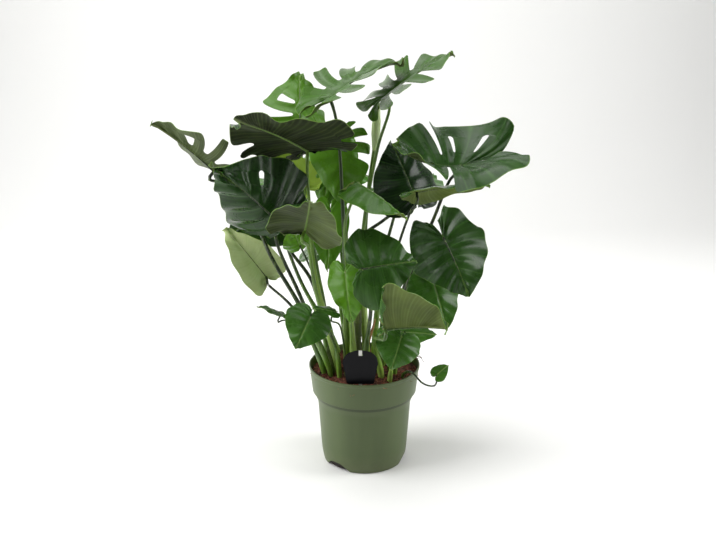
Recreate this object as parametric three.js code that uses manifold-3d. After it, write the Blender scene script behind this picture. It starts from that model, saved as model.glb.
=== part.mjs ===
// A potted monstera: a plastic nursery pot, bark soil, thick stems, and one solid for each leaf with its stalk.
// Millimetres, +Z up, origin at the middle of the pot's flat underside, -Y is the front.
import * as THREE from 'three';
import * as BufferGeometryUtils from 'three/addons/utils/BufferGeometryUtils.js';
import Module from 'manifold-3d';

const wasm = await Module();
wasm.setup();

// Pot: a tapered body under a wider rim band, with drain notches round its foot
const potHeight = 250;
const rimRadius = 135;
const rimEdge = 6;
const rimWall = 3.5;
const bandLowRadius = 127;
const bandHeight = 67;
const bandLip = 3;
const bodyTopRadius = 114;
const shoulderDrop = 25;
const footRadius = 100;
const footRound = 4;
const footFlare = 5;
const footHeight = 26;
const floorThickness = 4.4;
const potWall = 2.4;
const potSides = 28;
const notchCount = 3;
const notchTurn = 108;
const notchFootWidth = 78;
const notchTopWidth = 30;
const notchHeight = 19;
const notchDepth = 30;

// Soil: its top is uneven, and what stands in it is sunk rootDepth deep
const soilHeight = 236;
const soilEdgeDrop = 6;
const soilRings = [0, 40, 78, 108];
const soilLump = 7;
const soilGap = 0.3;
const soilSeed = 11;
const holeDepth = 42;
const rootDepth = 38;
const collarHeight = 6;
const holeClearance = 0.3;

// Stems: foot in the soil, top and radius at the foot
const stems = [
  { name: 'stem_main', foot: [-20, -6], top: [-16, -4, 400], radius: 13 },
  { name: 'stem_left', foot: [-76, -24], top: [-88, -18, 300], radius: 9 },
  { name: 'stem_right', foot: [34, -34], top: [40, -33, 305], radius: 9 },
];
const stemSides = 8;
const stemSteps = 5;
const stemTaper = 0.72;
const ringSpacing = 34;
const ringHeight = 1.2;
const ringWidth = 5;

// The new leaf, still rolled: a stalk, a spear that swells to its radius, and a curl at the top
const newLeaf = {
  foot: [10, 44],
  via: [[0, 40, 420], [6, 50, 640]],
  base: [22, 55, 770],
  spear: [[22, 55, 767], [25, 55, 800], [27, 55, 835]],
  curl: [[27, 55, 834], [30, 54, 862], [36, 46, 878], [44, 36, 876]],
  neck: 4,
  radius: 11,
  end: 1.2,
  sides: 8,
};
const newLeafSteps = 8;

// Label and stake: place is the middle of the label's lower edge at its back
const tagPlace = [-10, -116, 246];
const tagWidth = 82;
const tagFootWidth = 62;
const tagHeight = 85;
const tagThickness = 0.8;
const tagCorner = 4;
const tagShoulder = 34;
const tagCrown = 10;
const slotWidth = 12;
const slotLow = 14;
const slotHigh = 9;
const stakeWidth = 8;
const stakeThickness = 1.8;
const stakeDepth = 34;
const stakeEnd = 14;
const stakeGap = 0.4;

// Leaves
const bladeThickness = 1.4;
const stalkTopRadius = 3.3;
const stalkFootRadius = 6.2;
const stalkSides = 5;
const stalkStep = 75;
const thinnestStalk = 0.35;
const fullStalkWidth = 260;
const neckLength = 24;
const jointDepth = 0.15;
const slitPlaces = [0.27, 0.405, 0.54, 0.675];
const slitHalfWidth = 0.021;
const slitTaper = 0.3;
const smallLeafLines = [0, 0.12, 0.26, 0.42, 0.6, 0.8, 1];
const usualCut = [0.36, 0.68];
const wholeRows = [0, 0.55, 1];

// How the lateral veins leave the midrib, sweep towards the tip, and lift the margin in waves
const heelVeins = 0.25;
const heelStation = -0.03;
const lastStation = 0.94;
const stationCrowding = 1.4;
const veinSweep = 0.16;
const waveShare = 0.035;
const waveCount = 2.6;
const wavePhase = 0.37;
const waveOffset = 0.2;

// Half a leaf's outline from the notch at the stalk to the tip, in shares of the width and the length
const heartOutline = [
  [0.03, -0.13], [0.17, -0.235], [0.36, -0.16], [0.495, 0.1],
  [0.44, 0.42], [0.26, 0.72], [0.1, 0.9], [0, 1],
];

// Every leaf: foot in the soil, points on its stalk, joint of stalk and blade, tip, where the upper face
// looks, and blade width; fold and curl bend the left and right halves down, droop bends the rib (degrees).
// heel stretches the lobes behind the joint, narrow the left half, gap the slits; cut says how far out from the
// midrib holes begin and end. Cuts per half, from the stalk to the tip: o closed hole, s short slit, d deep
// slit, . none.
const leaves = [
  {
    name: 'leaf_top_back', foot: [-84, 66], via: [[-115, 98, 450], [-140, 110, 600], [-150, 126, 710]],
    joint: [-155, 130, 800], tip: [-160, 235, 922], face: [0.1, -0.85, 0.55], width: 215, gap: 1.9,
    fold: [4, 42], curl: 14, droop: 20, cut: [0.15, 0.75], left: '.ddo', right: 'dd.s',
  },
  {
    name: 'leaf_top_centre', foot: [-42, 6], via: [[-50, 0, 615], [-62, -5, 830]],
    joint: [-80, -20, 905], tip: [90, 60, 975], face: [-0.1, 0, 1], width: 220, heel: 1.5, gap: 1.5,
    fold: [-16, -10], curl: 12, droop: 25, cut: [0.25, 0.65], left: '.ddd', right: '.ddd',
  },
  {
    name: 'leaf_top_right', foot: [4, 14], via: [[-5, 10, 560], [30, 20, 780]],
    joint: [45, 20, 900], tip: [205, 60, 990], face: [-0.3, 0, 1], width: 220, heel: 1.3, gap: 1.4,
    fold: [-14, -4], curl: 20, droop: 20, cut: [0.25, 0.65], left: 'dddd', right: 'dddd',
  },
  {
    name: 'leaf_left_dark', foot: [-66, -8], via: [[-118, -10, 490], [-130, -10, 680]],
    joint: [-130, -30, 785], tip: [-266, -240, 892], face: [0.1, 0.55, 0.85], width: 285, heel: 0.5,
    fold: [-10, -6], curl: 14, droop: 12, left: 'ds..', right: 's.s.',
  },
  {
    name: 'leaf_back_yellow', foot: [-68, 42], via: [[-115, 52, 430], [-138, 74, 570]],
    joint: [-142, 100, 664], tip: [-248, 84, 780], face: [-0.3, 0.75, 0.6], width: 136, heel: 0.5,
    fold: [5, 5], curl: 20, droop: 20, left: '.s..', right: '....',
  },
  {
    name: 'leaf_left_glossy', foot: [-96, -18], via: [[-145, -40, 420], [-202, -35, 560]],
    joint: [-190, -95, 628], tip: [-330, -160, 775], face: [0.15, -0.85, 0.5],
    width: 262, narrow: 0.95, heel: 0.6,
    fold: [56, 0], curl: 30, droop: 40, left: '....', right: '...o',
  },
  {
    name: 'leaf_far_left', foot: [-82, -45],
    via: [[-150, -78, 425], [-212, -72, 538], [-255, -22, 612], [-325, -5, 700]],
    joint: [-345, -20, 735], tip: [-480, -40, 850], face: [-0.3, 0.35, 0.9], width: 200, heel: 2.4, gap: 2.2,
    fold: [-10, -24], curl: 10, droop: 15, cut: [0.25, 0.7], left: '.ddo', right: '....',
  },
  {
    name: 'leaf_left_behind', foot: [-88, 22], via: [[-125, 20, 450], [-185, 50, 535]],
    joint: [-205, 42, 634], tip: [-320, 4, 576], face: [-0.1, -0.8, 0.5], width: 180,
    fold: [10, 10], curl: 20, droop: 20, left: '....', right: '....',
  },
  {
    name: 'leaf_left_pale', foot: [-98, -40], via: [[-165, -35, 400], [-228, 5, 448]],
    joint: [-234, -5, 474], tip: [-318, -66, 612], face: [-0.3, 0.8, 0.45], width: 120, heel: 0.5,
    fold: [0, 52], curl: 20, droop: 15, left: '....', right: '....',
  },
  {
    name: 'leaf_small_left', foot: [-104, 0], via: [[-140, -20, 330], [-190, -60, 385]],
    joint: [-195, -70, 405], tip: [-250, -90, 430], face: [0, -0.1, 1], width: 45,
    fold: [5, 5], curl: 10, droop: 15, left: '', right: '',
  },
  {
    name: 'leaf_front_heart', foot: [-60, -57], via: [[-68, -76, 320], [-98, -144, 415]],
    joint: [-120, -185, 445], tip: [-155, -215, 375], face: [0, -0.9, 0.4], width: 112,
    fold: [8, 8], curl: 15, droop: 20, left: '', right: '',
  },
  {
    name: 'leaf_front_edge', foot: [-44, -46], via: [[-58, -82, 380]],
    joint: [-70, -120, 430], tip: [-120, -140, 445], face: [0, -0.2, 1], width: 50,
    fold: [5, 5], curl: 10, droop: 15, left: '', right: '',
  },
  {
    name: 'leaf_olive', foot: [-62, -36], via: [[-115, -35, 450], [-130, -86, 574]],
    joint: [-134, -118, 622], tip: [-116, -268, 732], face: [0.3, 0.6, 0.74], width: 180, heel: 0.6,
    fold: [5, 5], curl: 25, droop: 25, left: '....', right: '....',
  },
  {
    name: 'leaf_centre_right', foot: [-22, -38], via: [[-45, -70, 620], [-35, -90, 665]],
    joint: [-14, -110, 730], tip: [90, -190, 668], face: [0.3, -0.5, 0.8], width: 135, heel: 0.4,
    fold: [55, 5], curl: 20, droop: 20, left: '....', right: '....',
  },
  {
    name: 'leaf_dark_back_right', foot: [-16, 36], via: [[-22, 32, 540], [45, 42, 600]],
    joint: [120, 60, 650], tip: [62, 130, 775], face: [0.3, -0.8, 0.5], width: 190,
    fold: [10, 10], curl: 20, droop: 20, left: '....', right: '....',
  },
  {
    name: 'leaf_right_split', foot: [46, 14], via: [[105, 15, 470], [160, 14, 605], [198, -6, 712]],
    joint: [224, -20, 749], tip: [65, -90, 815], face: [0.25, -0.45, 0.95], width: 300,
    narrow: 0.78, heel: 3.3, gap: 1.2,
    fold: [-28, -9], curl: 15, droop: -55, cut: [0.25, 0.65], left: '..do', right: 'ood.',
  },
  {
    name: 'leaf_right_narrow', foot: [32, -12], via: [[62, -5, 480], [105, -30, 640]],
    joint: [118, -50, 694], tip: [283, -70, 713], face: [0, 0.5, 0.87], width: 115,
    fold: [5, 5], curl: 20, droop: 15, left: '....', right: '....',
  },
  {
    name: 'leaf_right_heart', foot: [62, -16], via: [[95, -25, 440], [135, -35, 540]],
    joint: [182, -60, 586], tip: [238, -118, 464], face: [0.25, -0.85, 0.45], width: 210, heel: 2.3,
    fold: [4, 36], curl: 25, droop: 20, left: '....', right: '....',
  },
  {
    name: 'leaf_front_centre', foot: [-6, -52], via: [[14, -92, 420], [8, -150, 500]],
    joint: [-5, -190, 555], tip: [115, -150, 560], face: [-0.05, -0.85, 0.5], width: 200,
    fold: [5, 15], curl: 20, droop: 20, left: '....', right: '....',
  },
  {
    name: 'leaf_front_olive', foot: [40, -58], via: [[26, -94, 320], [23, -160, 378]],
    joint: [45, -200, 416], tip: [186, -202, 418], face: [0, 0.8, 0.6], width: 248,
    narrow: 0.5, heel: 0.1,
    fold: [-32, -26], curl: 15, droop: 20, left: '....', right: '....',
  },
  {
    name: 'leaf_right_low', foot: [72, -44], via: [[90, -30, 370], [132, -22, 452]],
    joint: [158, -42, 484], tip: [193, -80, 366], face: [0.3, -0.9, 0.2], width: 130,
    fold: [8, 8], curl: 20, droop: 20, left: '....', right: '....',
  },
  {
    name: 'leaf_front_low', foot: [60, -80], via: [],
    joint: [84, -134, 372], tip: [60, -170, 304], face: [0.15, -0.8, 0.5], width: 116,
    fold: [8, 8], curl: 20, droop: 20, left: '', right: '',
  },
  {
    name: 'leaf_small_right', foot: [60, -60], via: [],
    joint: [95, -60, 355], tip: [170, -80, 355], face: [0, -0.7, 0.7], width: 60,
    fold: [8, 8], curl: 20, droop: 20, left: '', right: '',
  },
  {
    name: 'leaf_tiny', foot: [92, -58], via: [[112, -90, 264], [138, -100, 240], [165, -92, 230]],
    joint: [170, -80, 252], tip: [200, -70, 275], face: [-0.3, -0.8, 0.5], width: 42,
    fold: [4, 4], curl: 10, droop: 15, left: '', right: '',
  },
  {
    name: 'leaf_centre_back', foot: [-46, 48], via: [[-45, 60, 610]],
    joint: [-60, 36, 800], tip: [-48, 18, 640], face: [0, -0.95, 0.2], width: 157, gap: 1.5,
    fold: [8, 8], curl: 20, droop: 15, left: 'ddd.', right: '.s..',
  },
  {
    name: 'leaf_centre_left', foot: [-24, 66], via: [[-62, 100, 560]],
    joint: [-71, 98, 770], tip: [-102, 78, 612], face: [-0.2, -0.95, 0.2], width: 130,
    fold: [10, 10], curl: 20, droop: 15, left: '', right: '',
  },
  {
    name: 'leaf_hanging', foot: [-28, -58], via: [[-35, -88, 450]],
    joint: [-45, -110, 520], tip: [-30, -120, 400], face: [-0.4, -0.8, 0.3], width: 112,
    fold: [8, 8], curl: 20, droop: 15, left: '....', right: '....',
  },
  {
    name: 'leaf_glimpse_left', foot: [-66, 14], via: [[-105, 25, 420]],
    joint: [-152, 10, 545], tip: [-170, -25, 600], face: [-0.2, -0.6, 0.7], width: 80,
    fold: [4, 4], curl: 10, droop: 15, left: '', right: '',
  },
  {
    name: 'leaf_glimpse_centre', foot: [-42, 80], via: [[-70, 75, 450]],
    joint: [-82, 44, 622], tip: [-88, 28, 476], face: [-0.2, -0.9, 0.2], width: 96,
    fold: [4, 4], curl: 10, droop: 15, left: '', right: '',
  },
  {
    name: 'leaf_back_left', foot: [-66, 92], via: [[-160, 105, 430], [-205, 125, 560]],
    joint: [-220, 150, 650], tip: [-330, 300, 640], face: [-0.3, 0.4, 0.9], width: 210,
    fold: [10, 10], curl: 25, droop: 30, left: 'dod.', right: 'dds.',
  },
  {
    name: 'leaf_back_centre', foot: [-22, 102], via: [[-40, 140, 500]],
    joint: [-75, 200, 690], tip: [-115, 370, 700], face: [0, 0.3, 0.95], width: 230,
    fold: [10, 10], curl: 25, droop: 30, left: 'dds.', right: 'odd.',
  },
  {
    name: 'leaf_back_right', foot: [24, 66], via: [[48, 120, 480]],
    joint: [90, 185, 655], tip: [180, 330, 640], face: [0.2, 0.4, 0.9], width: 210,
    fold: [10, 10], curl: 25, droop: 30, left: 'ds..', right: 'dds.',
  },
  {
    name: 'leaf_back_low_right', foot: [52, 76], via: [[75, 110, 370]],
    joint: [88, 140, 440], tip: [138, 280, 365], face: [0.3, 0.5, 0.8], width: 160,
    fold: [10, 10], curl: 20, droop: 20, left: '....', right: '....',
  },
  {
    name: 'leaf_back_far_right', foot: [72, 34], via: [[140, 90, 400]],
    joint: [190, 120, 500], tip: [265, 250, 430], face: [0.5, 0.4, 0.75], width: 180,
    fold: [10, 10], curl: 20, droop: 25, left: '....', right: '....',
  },
  {
    name: 'leaf_back_low_left', foot: [-44, 100], via: [[-62, 128, 390]],
    joint: [-95, 160, 490], tip: [-125, 320, 450], face: [-0.2, 0.5, 0.8], width: 150,
    fold: [10, 10], curl: 20, droop: 25, left: '....', right: '....',
  },
];

function toSolid(geometry) {
  const plain = geometry.clone();
  plain.deleteAttribute('normal');
  plain.deleteAttribute('uv');
  const merged = BufferGeometryUtils.mergeVertices(plain, 1e-4);
  const mesh = new wasm.Mesh({
    numProp: 3,
    vertProperties: new Float32Array(merged.attributes.position.array),
    triVerts: new Uint32Array(merged.index.array),
  });
  return new wasm.Manifold(mesh);
}

function toGeometry(solid) {
  const mesh = solid.getMesh();
  const geometry = new THREE.BufferGeometry();
  geometry.setAttribute('position', new THREE.BufferAttribute(new Float32Array(mesh.vertProperties), 3));
  geometry.setIndex(new THREE.BufferAttribute(new Uint32Array(mesh.triVerts), 1));
  geometry.computeVertexNormals();
  return geometry;
}

function seededRandom(seed) {
  let state = seed;
  return () => {
    state = (state * 16807) % 2147483647;
    return state / 2147483647;
  };
}

function smoothCurve(points) {
  return new THREE.CatmullRomCurve3(points.map((point) => new THREE.Vector3(...point)), false, 'centripetal');
}

// What stands in the soil goes straight down from just above it
function rootPoints([x, y]) {
  return [[x, y, soilHeight - rootDepth], [x, y, soilHeight + collarHeight]];
}

// A closed tube along a curve whose radius runs evenly from the first value to the last
function taperedTube(curve, startRadius, endRadius, sides, steps) {
  const frames = curve.computeFrenetFrames(steps, false);
  const positions = [];
  for (let i = 0; i <= steps; i++) {
    const centre = curve.getPointAt(i / steps);
    const radius = startRadius + (endRadius - startRadius) * (i / steps);
    for (let k = 0; k < sides; k++) {
      const angle = (2 * Math.PI * k) / sides;
      const corner = centre.clone()
        .addScaledVector(frames.normals[i], radius * Math.cos(angle))
        .addScaledVector(frames.binormals[i], radius * Math.sin(angle));
      positions.push(corner.x, corner.y, corner.z);
    }
  }
  const index = [];
  for (let i = 0; i < steps; i++) {
    for (let k = 0; k < sides; k++) {
      const a = i * sides + k;
      const b = i * sides + ((k + 1) % sides);
      index.push(a, b, b + sides, a, b + sides, a + sides);
    }
  }
  const last = steps * sides;
  for (let k = 1; k < sides - 1; k++) {
    index.push(0, k + 1, k, last, last + k, last + k + 1);
  }
  const geometry = new THREE.BufferGeometry();
  geometry.setAttribute('position', new THREE.Float32BufferAttribute(positions, 3));
  geometry.setIndex(index);
  return geometry;
}

const outlineCurve = new THREE.SplineCurve(heartOutline.map(([x, y]) => new THREE.Vector2(x, y)));

// Where a lateral vein u leaves the midrib, as a share of the length
function ribStation(u) {
  if (u < heelVeins) return heelStation * (1 - u / heelVeins);
  return lastStation * Math.pow((u - heelVeins) / (1 - heelVeins), stationCrowding);
}

// A flat point of the leaf: u from the notch (0) to the tip (1), v from the midrib (0) to the margin (1)
function flatPoint(spec, u, v) {
  const margin = outlineCurve.getPoint(u);
  const marginY = margin.y < 0 ? margin.y * (spec.heel ?? 1) : margin.y;
  const rib = ribStation(u);
  const sweep = veinSweep * v * (1 - v) * Math.sin(Math.PI * Math.min(1, u * 1.1));
  return [margin.x * v * spec.width, (rib + (marginY - rib) * v - sweep) * spec.length];
}

// The leaf bent into shape: the rib is an arc whose chord is the Y axis, and each half folds and curls down
function bentPoint(spec, side, u, v) {
  const [flat, along] = flatPoint(spec, u, v);
  const across = side < 0 ? flat * (spec.narrow ?? 1) : flat;
  const droop = THREE.MathUtils.degToRad(spec.droop);
  const start = droop / 2;
  const radius = spec.length / droop;
  const angle = start - along / radius;
  const ribY = radius * (Math.sin(start) - Math.sin(angle));
  const ribZ = radius * (Math.cos(angle) - Math.cos(start));
  const share = (2 * across) / spec.width;
  const fold = side < 0 ? spec.fold[0] : spec.fold[1];
  const bend = THREE.MathUtils.degToRad(fold + 0.5 * spec.curl * share);
  const wave = spec.wave * v * v * Math.sin(2 * Math.PI * (waveCount * u + spec.phase + waveOffset * side));
  const drop = wave - across * Math.sin(bend);
  return new THREE.Vector3(
    side * across * Math.cos(bend),
    ribY - drop * Math.sin(angle),
    ribZ + drop * Math.cos(angle),
  );
}

// The vein lines of a leaf: pairs of lines bound a slit, single lines lie between
function veinLines(spec) {
  if (spec.left === '') return smallLeafLines.map((u) => ({ u }));
  const lines = [{ u: 0 }, { u: 0.09 }, { u: 0.18 }];
  slitPlaces.forEach((place, i) => {
    const left = spec.left[i] ?? '.';
    const right = spec.right[i] ?? '.';
    if (left === '.' && right === '.') {
      lines.push({ u: place });
    } else {
      lines.push({ u: place, shift: -1, left, right });
      lines.push({ u: place, shift: 1 });
    }
  });
  lines.push({ u: 0.81 }, { u: 0.91 }, { u: 1 });
  return lines;
}

// Where a line runs at v: the two lines of a slit part towards the margin
function lineU(spec, line, v) {
  const spread = slitHalfWidth * (spec.gap ?? 1) * (slitTaper + (1 - slitTaper) * v);
  return line.u + (line.shift ?? 0) * spread;
}

// Whether the cell between two rows is cut away
function isCut(code, row) {
  return (code === 'o' && row === 1) || (code === 's' && row === 2) || (code === 'd' && row >= 1);
}

// The blade as a closed solid: the same triangles on both faces and walls along every edge
function bladeGeometry(spec, frame) {
  const lines = veinLines(spec);
  const isSplit = /[osd]/.test(spec.left + spec.right);
  const bladeRows = isSplit ? [0, ...(spec.cut ?? usualCut), 1] : wholeRows;
  const rows = bladeRows.length - 1;
  const points = [];
  const keys = new Map();
  const vertex = (side, j, row) => {
    const onRib = row === 0 || j === lines.length - 1;
    const key = `${onRib ? 0 : side},${j},${row}`;
    if (!keys.has(key)) {
      keys.set(key, points.length);
      const v = bladeRows[row];
      points.push(bentPoint(spec, onRib ? 1 : side, lineU(spec, lines[j], v), v));
    }
    return keys.get(key);
  };
  const faces = [];
  for (const side of [-1, 1]) {
    for (let j = 0; j < lines.length - 1; j++) {
      const code = (side < 0 ? lines[j].left : lines[j].right) ?? '.';
      for (let row = 0; row < rows; row++) {
        if (isCut(code, row)) continue;
        const quad = [vertex(side, j, row), vertex(side, j, row + 1),
          vertex(side, j + 1, row + 1), vertex(side, j + 1, row)];
        if (side < 0) quad.reverse();
        faces.push([quad[0], quad[1], quad[2]], [quad[0], quad[2], quad[3]]);
      }
    }
  }
  return thicken(points, faces, frame);
}

// Two equal faces, half a thickness to each side of the points, and a wall along each open edge
function thicken(points, faces, frame) {
  const normals = points.map(() => new THREE.Vector3());
  const edges = new Map();
  for (const [a, b, c] of faces) {
    const normal = points[b].clone().sub(points[a]).cross(points[c].clone().sub(points[a]));
    for (const i of [a, b, c]) normals[i].add(normal);
    for (const [i, k] of [[a, b], [b, c], [c, a]]) edges.set(`${i},${k}`, [i, k]);
  }
  const count = points.length;
  const positions = [];
  for (const side of [0.5, -0.5]) {
    points.forEach((point, i) => {
      const corner = point.clone().addScaledVector(normals[i].normalize(), side * bladeThickness);
      corner.applyMatrix4(frame);
      positions.push(corner.x, corner.y, corner.z);
    });
  }
  const index = [];
  for (const [a, b, c] of faces) index.push(a, b, c, a + count, c + count, b + count);
  for (const [i, k] of edges.values()) {
    if (!edges.has(`${k},${i}`)) index.push(i, i + count, k + count, i, k + count, k);
  }
  const geometry = new THREE.BufferGeometry();
  geometry.setAttribute('position', new THREE.Float32BufferAttribute(positions, 3));
  geometry.setIndex(index);
  return geometry;
}

// Local axes of a leaf: X across, Y from joint to tip, Z out of the upper face
function leafFrame(spec) {
  const joint = new THREE.Vector3(...spec.joint);
  const along = new THREE.Vector3(...spec.tip).sub(joint);
  const chord = along.length();
  along.normalize();
  const up = new THREE.Vector3(...spec.face);
  up.addScaledVector(along, -up.dot(along)).normalize();
  const across = along.clone().cross(up);
  const frame = new THREE.Matrix4().makeBasis(across, along, up).setPosition(joint);
  return { frame, chord, up, joint };
}

// A stalk's path: straight up out of the soil, through its points, and square into the blade from below
function stalkCurve(spec, up, joint) {
  return smoothCurve([
    ...rootPoints(spec.foot),
    ...spec.via,
    joint.clone().addScaledVector(up, -neckLength).toArray(),
    joint.clone().addScaledVector(up, -jointDepth).toArray(),
  ]);
}

// A leaf's blade and stalk, and the hole that the stalk stands in
function leafParts(entry, number) {
  const { frame, chord, up, joint } = leafFrame(entry);
  const half = THREE.MathUtils.degToRad(entry.droop) / 2;
  const length = (chord * half) / Math.sin(half);
  const spec = { ...entry, length, phase: wavePhase * number, wave: waveShare * entry.width };
  const curve = stalkCurve(spec, up, joint);
  const steps = Math.max(5, Math.round(curve.getLength() / stalkStep));
  const scale = Math.min(1, thinnestStalk + entry.width / fullStalkWidth);
  const foot = stalkFootRadius * scale;
  const top = stalkTopRadius * scale;
  const stalk = taperedTube(curve, foot, top, stalkSides, steps);
  const hole = taperedTube(curve, foot + holeClearance, top + holeClearance, stalkSides, steps);
  return { blade: bladeGeometry(spec, frame), stalk, hole };
}

const bandLow = potHeight - bandHeight;
const bodyTop = bandLow - shoulderDrop;

// The inside of the pot from the rim down to the axis, drawn in by a gap
function potInside(gap) {
  const inset = potWall + gap;
  return [
    [rimRadius - rimWall - gap, potHeight],
    [bandLowRadius - inset, bandLow + bandLip + 1],
    [bodyTopRadius - inset, bodyTop + 2],
    [footRadius + footFlare - inset, footHeight + 1],
    [footRadius - inset, floorThickness + gap],
    [0, inset],
  ];
}

function lathe(profile) {
  const geometry = new THREE.LatheGeometry(profile.map(([x, y]) => new THREE.Vector2(x, y)), potSides);
  return geometry.rotateX(Math.PI / 2);
}

// A drain notch as seen from outside: wide at the foot, with sloping sides
const notchShape = new THREE.Shape([
  new THREE.Vector2(-notchFootWidth / 2, -1),
  new THREE.Vector2(notchFootWidth / 2, -1),
  new THREE.Vector2(notchTopWidth / 2, notchHeight),
  new THREE.Vector2(-notchTopWidth / 2, notchHeight),
]);

function potSolid() {
  const outside = [
    [0, 0], [footRadius - footRound, 0], [footRadius, footRound], [footRadius + footFlare, footHeight],
    [bodyTopRadius, bodyTop], [bandLowRadius - 2, bandLow], [bandLowRadius, bandLow + bandLip],
    [rimRadius - 1.5, potHeight - rimEdge - 2], [rimRadius, potHeight - rimEdge], [rimRadius, potHeight],
  ];
  let solid = toSolid(lathe([...outside, ...potInside(0)]));
  for (let i = 0; i < notchCount; i++) {
    const notch = new THREE.ExtrudeGeometry(notchShape, { depth: notchDepth, bevelEnabled: false });
    notch.translate(0, 0, footRadius - notchDepth / 2);
    notch.rotateY(Math.PI / 2).rotateX(Math.PI / 2);
    notch.rotateZ(THREE.MathUtils.degToRad(notchTurn) + (2 * Math.PI * i) / notchCount);
    solid = solid.subtract(toSolid(notch));
  }
  return solid;
}

// Bark soil that fills the pot, its top uneven, with a plain hole for everything that stands in it
function soilSolid(holes) {
  const random = seededRandom(soilSeed);
  const [rim, ...walls] = potInside(soilGap);
  const edge = soilHeight - soilEdgeDrop;
  const share = (edge - walls[0][1]) / (rim[1] - walls[0][1]);
  const edgeRadius = walls[0][0] + (rim[0] - walls[0][0]) * share;
  const top = soilRings.map((radius) => [radius, soilHeight]);
  const profile = [...top, [edgeRadius, edge], ...walls];
  const lump = lathe(profile.reverse());
  lump.deleteAttribute('normal');
  lump.deleteAttribute('uv');
  const body = BufferGeometryUtils.mergeVertices(lump, 1e-3);
  const position = body.attributes.position;
  for (let i = 0; i < position.count; i++) {
    if (position.getZ(i) > edge + 1) position.setZ(i, soilHeight + soilLump * (random() - 0.43));
  }
  let solid = toSolid(body);
  for (const hole of holes) solid = solid.subtract(hole);
  return solid;
}

// A stem in the soil with a low ring where each old leaf has dropped
function stemParts({ foot, top, radius }) {
  const curve = smoothCurve([...rootPoints(foot), top]);
  const topRadius = radius * stemTaper;
  let solid = toSolid(taperedTube(curve, radius, topRadius, stemSides, stemSteps));
  const above = curve.getLength() - holeDepth;
  for (let i = 0.5; i < Math.floor(above / ringSpacing); i++) {
    const at = (holeDepth + i * ringSpacing) / curve.getLength();
    const width = radius + (topRadius - radius) * at + ringHeight;
    const centre = curve.getPointAt(at);
    const along = curve.getTangentAt(at).multiplyScalar(ringWidth / 2);
    const line = new THREE.LineCurve3(centre.clone().sub(along), centre.clone().add(along));
    solid = solid.add(toSolid(taperedTube(line, width, width, stemSides, 1)));
  }
  const hole = taperedTube(curve, radius + holeClearance, topRadius + holeClearance, stemSides, stemSteps);
  return { solid, hole };
}

// The unopened leaf: a stalk that swells into a rolled spear and ends in a curl
function newLeafParts() {
  const { foot, via, base, spear, curl, neck, radius, end, sides } = newLeaf;
  const path = smoothCurve([...rootPoints(foot), ...via, base]);
  const stalk = (grow) => taperedTube(path, stalkFootRadius + grow, neck + grow, stalkSides, newLeafSteps);
  const pieces = [
    stalk(0),
    taperedTube(smoothCurve(spear), neck, radius, sides, 3),
    taperedTube(smoothCurve(curl), radius, end, sides, 4),
  ];
  const solid = pieces.map(toSolid).reduce((whole, piece) => whole.add(piece));
  return { solid, hole: stalk(holeClearance) };
}

// A bare black label: a plate with a rounded top and a slot
function tagSolid() {
  const half = tagWidth / 2;
  const shape = new THREE.Shape();
  const shoulder = tagHeight - tagShoulder;
  const crown = tagHeight - tagCrown;
  const low = tagFootWidth / 2;
  shape.moveTo(-low + tagCorner, 0);
  shape.lineTo(low - tagCorner, 0);
  shape.quadraticCurveTo(low, 0, low + 1, tagCorner);
  shape.lineTo(half, shoulder);
  shape.bezierCurveTo(half, crown, half * 0.6, tagHeight, 0, tagHeight);
  shape.bezierCurveTo(-half * 0.6, tagHeight, -half, crown, -half, shoulder);
  shape.lineTo(-low - 1, tagCorner);
  shape.quadraticCurveTo(-low, 0, -low + tagCorner, 0);
  const slot = new THREE.Path();
  slot.moveTo(-slotWidth / 2, tagHeight - slotLow);
  slot.lineTo(-slotWidth / 2, tagHeight - slotHigh);
  slot.lineTo(slotWidth / 2, tagHeight - slotHigh);
  slot.lineTo(slotWidth / 2, tagHeight - slotLow);
  slot.closePath();
  shape.holes.push(slot);
  const extrusion = { depth: tagThickness, bevelEnabled: false, curveSegments: 5 };
  const plate = new THREE.ExtrudeGeometry(shape, extrusion);
  plate.rotateX(Math.PI / 2);
  plate.translate(tagPlace[0], tagPlace[1], tagPlace[2]);
  return toSolid(plate);
}

// The white stake: it rises behind the label and its end comes forward through the slot
function stakeSolid(grow) {
  const back = tagPlace[1] + stakeGap;
  const front = tagPlace[1] - tagThickness - stakeGap;
  const foot = soilHeight - stakeDepth - grow;
  const bend = tagPlace[2] + tagHeight - slotLow + 0.6;
  const near = front - stakeThickness;
  const outline = [
    [back - grow, foot], [back + stakeThickness + grow, foot],
    [back + stakeThickness + grow, bend + 1.6], [front, bend + 4], [front, bend + stakeEnd],
    [near, bend + stakeEnd], [near, bend + 2.2], [back - grow, bend],
  ];
  const shape = new THREE.Shape(outline.map(([y, z]) => new THREE.Vector2(y, z)));
  const strip = new THREE.ExtrudeGeometry(shape, { depth: stakeWidth + 2 * grow, bevelEnabled: false });
  strip.translate(0, 0, -stakeWidth / 2 - grow);
  strip.rotateY(Math.PI / 2).rotateX(Math.PI / 2);
  strip.translate(tagPlace[0], 0, 0);
  return toSolid(strip);
}

const plant = new THREE.Group();

function addPiece(name, solid, color, roughness) {
  const material = new THREE.MeshStandardMaterial({ color, roughness, metalness: 0 });
  const mesh = new THREE.Mesh(toGeometry(solid), material);
  mesh.name = name;
  plant.add(mesh);
}

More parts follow.
